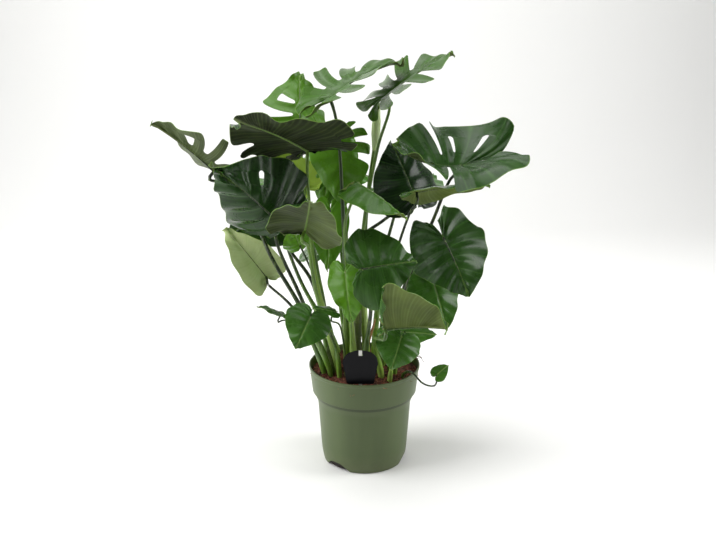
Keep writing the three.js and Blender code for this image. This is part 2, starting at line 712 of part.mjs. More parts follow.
const holes = [];
leaves.forEach((entry, number) => {
  const { blade, stalk, hole } = leafParts(entry, number);
  holes.push(toSolid(hole));
  addPiece(entry.name, toSolid(blade).add(toSolid(stalk)), 0x2f5a2c, 0.4);
});
for (const stem of stems) {
  const { solid, hole } = stemParts(stem);
  holes.push(toSolid(hole));
  addPiece(stem.name, solid, 0x5c7434, 0.6);
}
const rolled = newLeafParts();
holes.push(toSolid(rolled.hole));
addPiece('leaf_new_rolled', rolled.solid, 0x8fae5c, 0.45);
addPiece('tag', tagSolid(), 0x14151a, 0.5);
addPiece('tag_stake', stakeSolid(0), 0xe8e8e4, 0.5);
holes.push(stakeSolid(holeClearance));
addPiece('pot', potSolid(), 0x65705a, 0.45);
addPiece('soil', soilSolid(holes), 0x4b2c22, 0.95);

export default plant;
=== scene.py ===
import math
import bmesh
import bpy
import numpy as np
from mathutils import Matrix, Vector


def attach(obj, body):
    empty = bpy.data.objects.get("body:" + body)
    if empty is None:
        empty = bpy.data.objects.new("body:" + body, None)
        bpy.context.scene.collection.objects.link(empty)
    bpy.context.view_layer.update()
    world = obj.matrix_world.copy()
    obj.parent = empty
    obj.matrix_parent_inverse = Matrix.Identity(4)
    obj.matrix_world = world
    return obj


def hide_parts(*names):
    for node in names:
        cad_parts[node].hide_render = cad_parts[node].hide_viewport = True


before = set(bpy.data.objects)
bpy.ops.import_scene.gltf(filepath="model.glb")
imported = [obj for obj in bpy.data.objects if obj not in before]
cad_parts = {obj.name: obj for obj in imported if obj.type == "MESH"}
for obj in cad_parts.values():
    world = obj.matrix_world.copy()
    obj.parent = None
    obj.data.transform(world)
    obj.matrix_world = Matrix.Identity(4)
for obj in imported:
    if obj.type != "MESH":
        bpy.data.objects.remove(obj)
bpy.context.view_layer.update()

mm = 0.001
soilHeight = 236    # mm up, the top of the soil body


# sRGB hex to linear
def linear(hexColour):
    channels = [int(hexColour[i:i + 2], 16) / 255 for i in (1, 3, 5)]
    return [c / 12.92 if c <= 0.04045 else ((c + 0.055) / 1.055) ** 2.4 for c in channels] + [1]


# One node with its settings. Each input gets a value, a socket's link, or the first output of another node.
def addNode(tree, kind, links=None, **settings):
    node = tree.nodes.new(kind)
    for name, value in settings.items():
        setattr(node, name, value)
    for name, value in (links or {}).items():
        if isinstance(value, bpy.types.Node):
            value = value.outputs[0]
        if isinstance(value, bpy.types.NodeSocket):
            tree.links.new(value, node.inputs[name])
        else:
            node.inputs[name].default_value = value
    return node


# A material, its shader's values, and the Object coordinates that its pattern lies in
def newMaterial(name, **shaderValues):
    material = bpy.data.materials.new(name)
    material.use_nodes = True
    tree = material.node_tree
    shader = tree.nodes["Principled BSDF"]
    for socket, value in shaderValues.items():
        shader.inputs[socket].default_value = value
    return material, tree, shader, addNode(tree, "ShaderNodeTexCoord").outputs["Object"]


def toneRamp(tree, factor, tones):
    ramp = addNode(tree, "ShaderNodeValToRGB", {"Fac": factor})
    stops = ramp.color_ramp.elements
    while len(stops) < len(tones):
        stops.new(0.5)
    for i, tone in enumerate(tones):
        stops[i].position = i / (len(tones) - 1)
        stops[i].color = linear(tone)
    return ramp.outputs["Color"]


# Noise drawn out along an axis, scale in repeats to a metre
def grain(tree, place, scale, detail, turn=(0, 0, 0)):
    drawnOut = addNode(tree, "ShaderNodeMapping", {"Vector": place, "Scale": scale, "Rotation": turn})
    return addNode(tree, "ShaderNodeTexNoise", {"Vector": drawnOut, "Scale": 1.0, "Detail": detail})


# Coats of colour one over the other, each a hex value and its amount
def coats(tree, colour, *layers):
    for hexColour, amount in layers:
        mix = addNode(tree, "ShaderNodeMix", {0: amount, 6: colour, 7: linear(hexColour)}, data_type="RGBA")
        colour = mix.outputs[2]
    return colour


# Colour into the shader, and relief where a height is given, its depth in mm
def intoShader(tree, shader, colour, height=None, strength=0, depth=0):
    tree.links.new(colour, shader.inputs["Base Color"])
    if height is not None:
        bump = addNode(tree, "ShaderNodeBump", {"Height": height, "Strength": strength, "Distance": depth * mm})
        tree.links.new(bump.outputs[0], shader.inputs["Normal"])


def smoothStep(low, high, x):
    t = np.clip((x - low) / (high - low), 0, 1)
    return t * t * (3 - 2 * t)


def newMesh(name, points, faces, edges=()):
    mesh = bpy.data.meshes.new(name)
    mesh.from_pydata([tuple(p) for p in points], edges, faces)
    mesh.update()
    return mesh


def meshFrom(build, name):
    mesh = bpy.data.meshes.new(name)
    build.to_mesh(mesh)
    build.free()
    return mesh


def newObject(name, data=None):
    piece = bpy.data.objects.new(name, data or bpy.data.meshes.new(name))
    bpy.context.scene.collection.objects.link(piece)
    return piece


def pointValues(mesh, **values):
    for name, each in values.items():
        mesh.attributes.new(name, "FLOAT", "POINT").data.foreach_set("value", np.array(each, np.float32))


# The evaluated object as a plain mesh, its modifiers gone
def flatten(piece):
    bpy.context.view_layer.update()
    mesh = bpy.data.meshes.new_from_object(piece.evaluated_get(bpy.context.evaluated_depsgraph_get()))
    name = piece.name
    bpy.data.objects.remove(piece)
    return newObject(name, mesh)


# A sheet gets a thickness, and its underside the material so many slots further on
def thicken(piece, thickness, underside=0):
    shell = piece.modifiers.new("thickness", "SOLIDIFY")
    shell.thickness = thickness * mm
    shell.offset = 0
    shell.material_offset = underside


def dress(piece, material):
    piece.data.materials.clear()
    piece.data.materials.append(material)


# Smooth shading, with edges sharper than the angle left crisp
def shade(piece, sharp=None):
    piece.data.polygons.foreach_set("use_smooth", [True] * len(piece.data.polygons))
    if sharp:
        piece.data.set_sharp_from_angle(angle=math.radians(sharp))


def finishPiece(piece, slot, *nodes):
    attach(piece, "root")
    if nodes:
        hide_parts(*nodes)


# A Geometry Nodes tree that takes geometry and named inputs and gives geometry, and what it is given
def newTree(name, **inputs):
    tree = bpy.data.node_groups.new(name, "GeometryNodeTree")
    tree.interface.new_socket("Geometry", in_out="INPUT", socket_type="NodeSocketGeometry")
    for label, kind in inputs.items():
        tree.interface.new_socket(label, in_out="INPUT", socket_type="NodeSocket" + kind)
    tree.interface.new_socket("Geometry", in_out="OUTPUT", socket_type="NodeSocketGeometry")
    return tree, addNode(tree, "NodeGroupInput").outputs


# The tree on a piece, its inputs set by their identifiers
def useTree(piece, tree, **inputs):
    modifier = piece.modifiers.new(tree.name, "NODES")
    modifier.node_group = tree
    for item in tree.interface.items_tree:
        if item.item_type == "SOCKET" and item.in_out == "INPUT" and item.name in inputs:
            modifier[item.identifier] = inputs[item.name]


# How every blade is drawn: its half outline from the notch to the tip, where its slits and veins
# leave the midrib, and how finely it is divided. u runs from the notch to the tip, v from rib to margin.
bladeRule = {
    "outline": ((0.03, -0.13), (0.17, -0.235), (0.36, -0.16), (0.495, 0.1),
                (0.44, 0.42), (0.26, 0.72), (0.1, 0.9), (0, 1)),
    "slits": (0.27, 0.405, 0.54, 0.675),
    "slitHalfWidth": 0.021,
    "slitTaper": 0.3,        # its width at the rib, as a share of that at the margin
    "cut": (0.36, 0.68),     # where holes begin and end between rib and margin, unless the leaf says
    "cutShift": 0.05,        # how far a hole's ends wander at random
    "firstCut": 0.06,        # the nearest to the rib that a hole may begin
    "roundEnd": 0.06,        # share of v in which a slit's inner end closes
    "roundCorner": 0.03,     # share of u in which a lobe's corner rounds off
    "cornerDepth": 0.07,
    "veins": (0, 0.09, 0.2, 0.3375, 0.4725, 0.6075, 0.74, 0.85, 0.93, 1),
    "heelVeins": 0.25,       # the veins below this u all leave the rib at the joint
    "heelStation": -0.03,
    "lastStation": 0.94,
    "stationCrowding": 1.4,
    "veinSweep": 0.16,       # how far the veins bow towards the joint
    "sweepCrowding": 1.1,
    "waveShare": 0.035,      # height of the margin's waves as a share of the blade's width
    "waveCount": 2.6,
    "wavePhase": 0.37,
    "waveOffset": 0.2,
    "thickness": 0.9,
    "rows": (0, 0.03, 0.07, 0.12, 0.18, 0.24, 0.3, 0.345, 0.36, 0.367, 0.38, 0.4, 0.43, 0.48, 0.54,
             0.6, 0.64, 0.66, 0.673, 0.68, 0.687, 0.7, 0.725, 0.77, 0.82, 0.87, 0.91, 0.945, 0.97, 0.987, 1),
    "columnsPerU": 58,
    "fewestColumns": 7,
    "halfBlend": 0.08,       # share of v in which the tones of the two halves meet
    "sharp": 60,             # degrees, edges past it stay crisp
}


# A uniform spline through the outline's points
def outlinePoint(u):
    points = np.array(bladeRule["outline"])
    at = np.clip(u, 0, 1) * (len(points) - 1)
    i = np.minimum(at.astype(int), len(points) - 2)
    t = (at - i)[..., None]
    before, a, b, after = (points[np.clip(i + k, 0, len(points) - 1)] for k in (-1, 0, 1, 2))
    outA = (b - before) / 2
    outB = (after - a) / 2
    return (2 * a - 2 * b + outA + outB) * t ** 3 + (-3 * a + 3 * b - 2 * outA - outB) * t ** 2 + outA * t + a


# Where along the midrib the vein at u leaves it, as a share of the blade's length
def ribStation(u):
    rule = bladeRule
    heel = rule["heelStation"] * (1 - u / rule["heelVeins"])
    rest = np.maximum(u - rule["heelVeins"], 0) / (1 - rule["heelVeins"])
    return np.where(u < rule["heelVeins"], heel, rule["lastStation"] * rest ** rule["stationCrowding"])


# The blade bent into shape, with its flat distance from the rib
def bentBlade(leaf, side, u, v):
    rule = bladeRule
    margin = outlinePoint(u)
    marginY = np.where(margin[..., 1] < 0, margin[..., 1] * leaf["heel"], margin[..., 1])
    rib = ribStation(u)
    sweep = rule["veinSweep"] * v * (1 - v) * np.sin(np.pi * np.minimum(1, u * rule["sweepCrowding"]))
    across = margin[..., 0] * v * leaf["width"] * (leaf["narrow"] if side < 0 else 1)
    along = (rib + (marginY - rib) * v - sweep) * leaf["length"]
    droop = math.radians(leaf["droop"])
    radius = leaf["length"] / droop
    angle = droop / 2 - along / radius
    ribY = radius * (math.sin(droop / 2) - np.sin(angle))
    ribZ = radius * (np.cos(angle) - math.cos(droop / 2))
    bend = np.radians(leaf["fold"][0 if side < 0 else 1] + leaf["curl"] * across / leaf["width"])
    phase = rule["waveCount"] * u + leaf["phase"] + rule["waveOffset"] * side
    wave = rule["waveShare"] * leaf["width"] * v * v * np.sin(2 * np.pi * phase)
    drop = wave - across * np.sin(bend)
    points = np.stack([side * across * np.cos(bend), ribY - drop * np.sin(angle), ribZ + drop * np.cos(angle)], -1)
    return points, across


# How far a round end has opened, from 0 at its point to 1
def roundOff(share):
    return np.sqrt(1 - (1 - np.clip(share, 0, 1)) ** 2)


# One half as a grid: strips of columns between the slit lines. Points on both sides of a closed slit are the same.
def halfGrid(leaf, side, draw):
    rule = bladeRule
    codes = "." + (leaf["left"] if side < 0 else leaf["right"]) + "."
    lines = (0,) + rule["slits"] + (1,)
    rowsAt, openAt = [], []
    for code in codes:
        shift = draw.uniform(-rule["cutShift"], rule["cutShift"], 2) if code != "." else (0, 0)
        start, end = max(rule["firstCut"], leaf["cut"][0] + shift[0]), leaf["cut"][1] + shift[1]
        rows = np.interp(rule["rows"], (0, *rule["cut"], 1), (0, start, end, 1))
        # where the opening begins and ends: past 1 it runs out through the margin, and from 3 on there is none
        first, last = {"o": (start, end), "s": (end, 2), "d": (start, 2)}.get(code, (3, 4))
        spread = rule["slitHalfWidth"] * leaf["gap"] * (rule["slitTaper"] + (1 - rule["slitTaper"]) * rows)
        width = spread * roundOff((rows - first) / rule["roundEnd"]) * roundOff((last - rows) / rule["roundEnd"])
        rowsAt.append(rows)
        openAt.append(np.where((rows > first + 1e-6) & (rows < last - 1e-6), width, 0))
    grids = []
    for i in range(len(lines) - 1):
        count = max(rule["fewestColumns"], round(rule["columnsPerU"] * (lines[i + 1] - lines[i])))
        even = np.linspace(0, 1, count + 1)
        s = (0.5 * even + 0.5 * (0.5 - 0.5 * np.cos(np.pi * even)))[:, None]    # columns crowd towards both slits
        v = rowsAt[i] * (1 - s) + rowsAt[i + 1] * s
        u = (lines[i] + openAt[i]) * (1 - s) + (lines[i + 1] - openAt[i + 1]) * s
        plainU = lines[i] * (1 - s) + lines[i + 1] * s + 0 * v
        for edge, code in ((plainU - lines[i], codes[i]), (lines[i + 1] - plainU, codes[i + 1])):
            if code in "sd":
                v = v * (1 - rule["cornerDepth"] * (1 - roundOff(edge / rule["roundCorner"])) * v ** 5)
        grids.append((u, v, plainU))
    return grids, openAt, codes


# Lobes between open slits droop or lift a little on their own
def lobeLift(leaf, grids, codes, draw):
    lifts = []
    amount = draw.normal()
    for i, (_, v, plainU) in enumerate(grids):
        if codes[i] in "sd":
            amount = draw.normal()
        starts = [{"d": leaf["cut"][0], "s": leaf["cut"][1]}.get(codes[k], 0.5) for k in (i, i + 1)]
        share = (plainU - plainU[0, 0]) / (plainU[-1, 0] - plainU[0, 0])
        start = starts[0] * (1 - share) + starts[1] * share
        lifts.append(amount * (np.clip(v - start, 0, 1) / (1 - start)) ** 2)
    return lifts


# Both halves as one grid of quads, joined along the rib and along every slit where it is closed
def bladeGrid(leaf, draw):
    rule = bladeRule
    points, faces, data, ids = [], [], [], {}
    rows = len(rule["rows"])
    for side in (1, -1):
        grids, openAt, codes = halfGrid(leaf, side, draw)
        lifts = lobeLift(leaf, grids, codes, draw)
        for i, (u, v, plainU) in enumerate(grids):
            bent, across = bentBlade(leaf, side, u, v)
            phase = np.interp(plainU, rule["veins"], range(len(rule["veins"])))
            columns = len(u)
            for j in range(columns):
                for k in range(rows):
                    place = (side, i, j, k)
                    if k == 0 or (j == columns - 1 and i == len(grids) - 1):
                        place = ("rib", i, j, k)
                    if j == 0 and i and (openAt[i][k] == 0 or k == 0):
                        place = (place[0], i - 1, len(grids[i - 1][0]) - 1, k)
                    if place not in ids:
                        ids[place] = len(points)
                        points.append(bent[j, k])
                        data.append((phase[j, k], v[j, k], across[j, k], lifts[i][j, k], side, u[j, k]))
                    ids[(side, i, j, k)] = ids[place]
            for j in range(columns - 1):
                for k in range(rows - 1):
                    quad = [ids[(side, i, j + a, k + b)] for a, b in ((0, 0), (0, 1), (1, 1), (1, 0))]
                    corner = list(dict.fromkeys(quad))
                    if len(corner) > 2:
                        faces.append(corner if side > 0 else corner[::-1])
    return np.array(points), faces, np.array(data).T


# A centripetal spline through the points, as count + 1 points at even steps along it
def smoothPath(points, count):
    points = [np.array(p, float) for p in points]
    points = [2 * points[0] - points[1]] + points + [2 * points[-1] - points[-2]]
    fine = []
    for p0, p1, p2, p3 in zip(points, points[1:], points[2:], points[3:]):
        d0, d1, d2 = (max(1e-3, np.linalg.norm(b - a)) ** 0.5 for a, b in ((p0, p1), (p1, p2), (p2, p3)))
        out1 = d1 * ((p1 - p0) / d0 - (p2 - p0) / (d0 + d1) + (p2 - p1) / d1)
        out2 = d1 * ((p2 - p1) / d1 - (p3 - p1) / (d1 + d2) + (p3 - p2) / d2)
        for t in np.linspace(0, 1, 40, endpoint=False):
            fine.append(p1 + out1 * t + (3 * (p2 - p1) - 2 * out1 - out2) * t ** 2
                        + (2 * (p1 - p2) + out1 + out2) * t ** 3)
    fine.append(points[-2])
    fine = np.array(fine)
    length = np.concatenate([[0], np.cumsum(np.linalg.norm(np.diff(fine, axis=0), axis=1))])
    even = np.linspace(0, length[-1], count + 1)
    return np.stack([np.interp(even, length, fine[:, k]) for k in range(3)], -1)


def pathLength(points):
    return sum(np.linalg.norm(np.subtract(b, a)) for a, b in zip(points, points[1:]))


# Every stalk: a broad sheath at the foot, a slim round middle, and a swollen knee under the blade
stalkRule = {
    "footRadius": 6.2,
    "topRadius": 3.3,
    "thinnest": 0.35,
    "fullWidth": 260,        # mm, a blade this wide adds a whole share to the stalk's scale
    "neck": 24,              # how far under the blade the stalk turns towards its face
    "headGap": 0.15,         # between the stalk's end and the joint
    "rootDepth": 38,         # how far the foot reaches into the soil
    "collar": 6,             # how high over the soil it stays upright
    "step": 9,
    "fewestSteps": 12,
    "sheathRise": (0.04, 0.2),      # shares of the stalk's length in which the sheath swells
    "sheathFall": (0.42, 0.3),      # and closes again
    "sheathSwell": 0.42,
    "kneePlace": 14,         # mm under the blade
    "kneeWidth": 13.6,
    "kneeSwell": 0.22,
    "sides": 14,
}

# The rib that stands out under the blade
ribRule = {
    "radius": 2.1,
    "endRadius": 0.35,
    "fullWidth": 220,
    "thickest": 1.15,
    "taper": 0.8,
    "lastU": 0.985,
    "points": 26,
    "sink": 0.3,
}


def rootPoints(foot):
    return [(*foot, soilHeight - stalkRule["rootDepth"]), (*foot, soilHeight + stalkRule["collar"])]


# The joint, the distance from it to the tip, and the blade's own x, y and z directions
def leafAxes(leaf):
    joint, tip, up = (np.array(leaf[key], float) for key in ("joint", "tip", "face"))
    along = tip - joint
    chord = np.linalg.norm(along)
    along /= chord
    up -= along * up.dot(along)
    up /= np.linalg.norm(up)
    return joint, chord, np.stack([np.cross(along, up), along, up])


def stalkPath(leaf, joint, up):
    rule = stalkRule
    points = rootPoints(leaf["foot"]) + list(leaf["via"]) + [joint - up * rule[gap] for gap in ("neck", "headGap")]
    length = pathLength(points)
    path = smoothPath(points, max(rule["fewestSteps"], round(length / rule["step"])))
    share = np.linspace(0, 1, len(path))
    scale = min(1, rule["thinnest"] + leaf["width"] / rule["fullWidth"])
    radius = rule["footRadius"] + (rule["topRadius"] - rule["footRadius"]) * share
    swell = smoothStep(*rule["sheathRise"], share) * smoothStep(*rule["sheathFall"], share)
    radius = radius * (1 + rule["sheathSwell"] * swell)
    fromTop = (1 - share) * length
    knee = np.exp(-((fromTop - rule["kneePlace"]) / rule["kneeWidth"]) ** 2)
    return path, radius * (1 + rule["kneeSwell"] * knee) * scale, share


# The rib from the joint to near the tip
def ribPath(leaf, joint, axes):
    rule = ribRule
    u = np.linspace(bladeRule["heelVeins"], rule["lastU"], rule["points"])
    points = bentBlade(leaf, 1, u, 0 * u)[0]
    share = np.linspace(0, 1, len(u))
    scale = min(rule["thickest"], leaf["width"] / rule["fullWidth"])
    points[:, 2] -= reliefRule["groove"] + rule["sink"]
    return joint + points @ axes, scale * (rule["radius"] * (1 - share) ** rule["taper"] + rule["endRadius"]), 1 + share


# A line mesh that the tube tree turns into tubes, from chains of points, their radii and their shares of the way
def pathObject(chains, tone):
    points, edges, thickness, place = [], [], [], []
    for path, radius, share in chains:
        first = len(points)
        points.extend(path * mm)
        thickness.extend(radius * mm)
        place.extend(share)
        edges.extend((i, i + 1) for i in range(first, len(points) - 1))
    mesh = newMesh("path", points, [], edges)
    pointValues(mesh, thickness=thickness, alongStalk=place, tone=[tone] * len(points))
    return newObject("path", mesh)


# Geometry Nodes: line paths become capped tubes of their own thickness, joined to what the piece has
def buildTubeTree():
    tree, given = newTree("growTubes", Path="Object", Sides="Int", Skin="Material")
    lines = addNode(tree, "GeometryNodeObjectInfo", {"Object": given["Path"]})
    curve = addNode(tree, "GeometryNodeMeshToCurve", {"Mesh": lines.outputs["Geometry"]})
    thickness = addNode(tree, "GeometryNodeInputNamedAttribute", {"Name": "thickness"}, data_type="FLOAT")
    ring = addNode(tree, "GeometryNodeCurvePrimitiveCircle", {"Resolution": given["Sides"], "Radius": 1.0})
    tube = addNode(tree, "GeometryNodeCurveToMesh", {
        "Curve": curve, "Profile Curve": ring, "Scale": thickness, "Fill Caps": True})
    smooth = addNode(tree, "GeometryNodeSetShadeSmooth", {"Geometry": tube})
    skinned = addNode(tree, "GeometryNodeSetMaterial", {"Geometry": smooth, "Material": given["Skin"]})
    both = addNode(tree, "GeometryNodeJoinGeometry", {0: given["Geometry"]})
    tree.links.new(skinned.outputs[0], both.inputs[0])
    addNode(tree, "NodeGroupOutput", {0: addNode(tree, "GeometryNodeRealizeInstances", {"Geometry": both})})
    return tree


# Tubes along the chains join the piece, which comes back as a plain mesh
def growTubes(piece, chains, tone, sides, skin):
    path = pathObject(chains, tone)
    useTree(piece, tubeTree, Path=path, Sides=sides, Skin=skin)
    piece = flatten(piece)
    bpy.data.objects.remove(path)
    return piece


# Relief along the blade's normal: veins sunk, the skin puffed between them, a groove on the rib
reliefRule = {
    "puff": 0.018,           # share of the blade's width
    "puffStart": 0.25,       # share of the way to the margin in which it rises from the rib
    "puffFade": 0.55,        # how much of it is gone at the margin
    "groove": 1.8,           # mm
    "grooveWidth": 3.0,
    "ripple": 0.016,
    "ripples": (6.3, 3, 0.3),     # to a margin, and its shift with the leaf and the side
    "lobeLift": 0.03,
}


def bladeMesh(leaf, draw, joint, axes):
    rule, width = reliefRule, leaf["width"]
    points, faces, (phase, v, across, lift, side, u) = bladeGrid(leaf, draw)
    mesh = newMesh("blade", points, faces)
    normals = np.zeros(len(points) * 3, np.float32)
    mesh.vertices.foreach_get("normal", normals)
    swell = (0.5 - 0.5 * np.cos(2 * np.pi * phase)) * smoothStep(0, rule["puffStart"], v) * (1 - rule["puffFade"] * v)
    relief = rule["puff"] * width * leaf["puff"] * swell
    relief -= rule["groove"] * np.exp(-(across / rule["grooveWidth"]) ** 2)
    each, byLeaf, bySide = rule["ripples"]
    relief += rule["ripple"] * width * v ** 4 * np.sin(2 * np.pi * (each * u + byLeaf * leaf["phase"] + bySide * side))
    relief += rule["lobeLift"] * width * lift
    placed = joint + (points + normals.reshape(-1, 3) * relief[:, None]) @ axes
    mesh.vertices.foreach_set("co", (placed * mm).astype(np.float32).ravel())
    corner = np.zeros(len(mesh.loops), np.int32)
    mesh.loops.foreach_get("vertex_index", corner)
    veins = np.stack([phase, v], -1)[corner].astype(np.float32)
    mesh.uv_layers.new(name="veins").data.foreach_set("uv", veins.ravel())
    # One half's tone drawn lower: painted shade on a half that turns from the light
    halfShade = np.where(side < 0, *leaf["dark"]) * smoothStep(0, bladeRule["halfBlend"], v)
    pointValues(mesh, fromRib=across, tone=leaf["tone"] + halfShade, glow=np.full(len(v), leaf["glow"]))
    mesh.polygons.foreach_set("use_smooth", [True] * len(mesh.polygons))
    mesh.update()
    return mesh


def buildLeaf(name, leaf, number):
    draw = np.random.default_rng(100 + number)
    joint, chord, axes = leafAxes(leaf)
    half = math.radians(leaf["droop"]) / 2
    leaf["length"] = chord * half / math.sin(half)
    leaf["phase"] = bladeRule["wavePhase"] * number
    piece = newObject("monstera_" + name, bladeMesh(leaf, draw, joint, axes))
    piece.data.materials.append(leafTop)
    piece.data.materials.append(leafBack)
    thicken(piece, bladeRule["thickness"], underside=1)
    chains = stalkPath(leaf, joint, axes[2]), ribPath(leaf, joint, axes)
    piece = growTubes(piece, chains, leaf["stalk"], stalkRule["sides"], stalkSkin)
    piece.data.set_sharp_from_angle(angle=math.radians(bladeRule["sharp"]))
    finishPiece(piece, "leaf", "leaf_" + name)


# Both faces of a mature monstera blade
leafLook = {
    "ior": 1.42,
    "softness": 0.12,            # light that passes into the skin
    "softDepth": 0.0025,         # metres
    "softColour": (0.6, 1.0, 0.15),
    "patchSize": 45,             # mm, soft patches of lighter and darker green
    "patchDepth": 0.3,           # how far they move the tone
    "faintVein": 0.35,           # share of its light that a vein keeps on a dark blade
    "veinWidth": 0.07,           # share of the space between two veins
    "fineVeins": 5,              # to that space
    "fineVeinWidth": 0.3,
    "ribStrength": 0.6,
    "ribFade": (0.6, 2.6),       # mm from the midline
    # A pale margin: partly the blade's own thickened edge, partly a painted edge highlight
    "rimStart": 0.985,           # share of the way from rib to margin
    "rimStrength": 0.7,
    "netScale": 260.0,           # cells to a metre, about 4 mm each
    "netRelief": 0.6,
    "bumpStrength": 0.35,
    "roughnessRange": (-0.06, 0.08),    # what the patches take off and add
}

# Upper face: waxed cuticle, so deep green with a broad soft gloss
leafTopLook = {
    **leafLook,
    "tones": ("#11260e", "#284819", "#426f22", "#5f9a28", "#8dbd3c"),   # dark to bright: old to young, and in part painted shade for leaves in shadow
    "backlit": "#6ba312",        # where the light comes through a young blade
    "vein": "#5f8f42",
    "rib": "#93b362",
    "rim": "#7fa548",
    "veinStrength": 0.22,
    "fineVeinStrength": 0.05,
    "roughness": 0.27,
    "gloss": 0.34,
    "bump": 0.25,                # mm
}

# Underside: matt, greyer and paler, its veins standing out light
leafBackLook = {
    **leafLook,
    "tones": ("#151c0a", "#3b491c", "#667636", "#95a661", "#bccb92"),
    "backlit": "#8fb02a",
    "vein": "#93a868",
    "rib": "#a9bb78",
    "rim": "#90a85c",
    "veinStrength": 0.15,
    "fineVeinStrength": 0.1,
    "roughness": 0.5,
    "gloss": 0.3,
    "bump": 0.35,
}


def leafMaterial(name, look):
    material, tree, shader, place = newMaterial(name, **{
        "IOR": look["ior"], "Specular IOR Level": look["gloss"], "Subsurface Weight": look["softness"],
        "Subsurface Scale": look["softDepth"], "Subsurface Radius": look["softColour"]})
    tone, glow, fromRib = (addNode(tree, "ShaderNodeAttribute", attribute_name=key).outputs["Fac"]
                           for key in ("tone", "glow", "fromRib"))
    grid = addNode(tree, "ShaderNodeSeparateXYZ", {"Vector": addNode(tree, "ShaderNodeUVMap", uv_map="veins")})
    patches = addNode(tree, "ShaderNodeTexNoise", {"Vector": place, "Scale": 1000 / look["patchSize"], "Detail": 4.0})
    shifted = addNode(tree, "ShaderNodeMath", {
        0: patches, 1: look["patchDepth"], 2: -look["patchDepth"] / 2}, operation="MULTIPLY_ADD")
    level = addNode(tree, "ShaderNodeMath", {0: tone, 1: shifted}, operation="ADD", use_clamp=True)
    faint = addNode(tree, "ShaderNodeMapRange", {
        "Value": tone, "From Max": 0.5, "To Min": look["faintVein"], "To Max": 1.0})
    lines = []
    for repeats, width, strength in ((1, look["veinWidth"], look["veinStrength"]),
                                     (look["fineVeins"], look["fineVeinWidth"], look["fineVeinStrength"])):
        scaled = addNode(tree, "ShaderNodeMath", {0: grid.outputs["X"], 1: repeats}, operation="MULTIPLY")
        near = addNode(tree, "ShaderNodeMath", {0: scaled, 1: 0.5}, operation="PINGPONG")
        lines.append(addNode(tree, "ShaderNodeMapRange", {
            "Value": near, "From Min": 0.0, "From Max": width, "To Min": strength, "To Max": 0.0},
            interpolation_type="SMOOTHSTEP"))
    mainVein = addNode(tree, "ShaderNodeMath", {0: lines[0], 1: faint}, operation="MULTIPLY")
    rib = addNode(tree, "ShaderNodeMapRange", {
        "Value": fromRib, "From Min": look["ribFade"][0], "From Max": look["ribFade"][1],
        "To Min": look["ribStrength"], "To Max": 0.0})
    rib = addNode(tree, "ShaderNodeMath", {0: rib, 1: faint}, operation="MULTIPLY")
    # Paler margin, in part a painted edge highlight
    rim = addNode(tree, "ShaderNodeMapRange", {
        "Value": grid.outputs["Y"], "From Min": look["rimStart"], "From Max": 1.0, "To Max": look["rimStrength"]})
    colour = coats(tree, toneRamp(tree, level, look["tones"]), (look["backlit"], glow), (look["vein"], lines[1]),
                   (look["vein"], mainVein), (look["rib"], rib), (look["rim"], rim))
    net = addNode(tree, "ShaderNodeTexVoronoi", {
        "Vector": place, "Scale": look["netScale"]}, feature="DISTANCE_TO_EDGE")
    height = addNode(tree, "ShaderNodeMath", {0: net, 1: look["netRelief"], 2: lines[1]}, operation="MULTIPLY_ADD")
    intoShader(tree, shader, colour, height, look["bumpStrength"], look["bump"])
    low, high = (look["roughness"] + shift for shift in look["roughnessRange"])
    gloss = addNode(tree, "ShaderNodeMapRange", {
        "Value": patches, "From Min": 0.3, "From Max": 0.7, "To Min": low, "To Max": high})
    tree.links.new(gloss.outputs[0], shader.inputs["Roughness"])
    return material


# Stalk skin: smooth and taut, with pale streaks running along it, darker towards the blade
stalkLook = {
    "tones": ("#141f0d", "#25371a", "#446322", "#719636", "#9fbe58"),
    "toneShare": 0.7,
    "footTone": 0.63,            # what the height adds at the foot, and near the blade
    "topTone": 0.0,
    "streak": "#9fba68",
    "streakAmount": 0.45,
    "streakScale": (260, 260, 9),
    "roughness": 0.3,
}


def stalkMaterial():
    look = stalkLook
    material, tree, shader, place = newMaterial("smooth green stalk", **{
        "Roughness": look["roughness"], "Subsurface Weight": 0.1,
        "Subsurface Scale": 0.003, "Subsurface Radius": (0.6, 1.0, 0.2)})
    streaks = grain(tree, place, look["streakScale"], 3.0)
    tone, along = (addNode(tree, "ShaderNodeAttribute", attribute_name=key).outputs["Fac"]
                   for key in ("tone", "alongStalk"))
    height = addNode(tree, "ShaderNodeMapRange", {
        "Value": along, "From Min": 0.1, "From Max": 0.6, "To Min": look["footTone"], "To Max": look["topTone"]})
    level = addNode(tree, "ShaderNodeMath", {
        0: tone, 1: look["toneShare"], 2: height}, operation="MULTIPLY_ADD", use_clamp=True)
    amount = addNode(tree, "ShaderNodeMapRange", {
        "Value": streaks, "From Min": 0.5, "From Max": 0.75, "To Max": look["streakAmount"]})
    colour = coats(tree, toneRamp(tree, level, look["tones"]), (look["streak"], amount))
    intoShader(tree, shader, colour, streaks, 0.3, 0.3)
    return material


leafTop = leafMaterial("waxed leaf face", leafTopLook)
leafBack = leafMaterial("matt leaf underside", leafBackLook)
stalkSkin = stalkMaterial()
tubeTree = buildTubeTree()


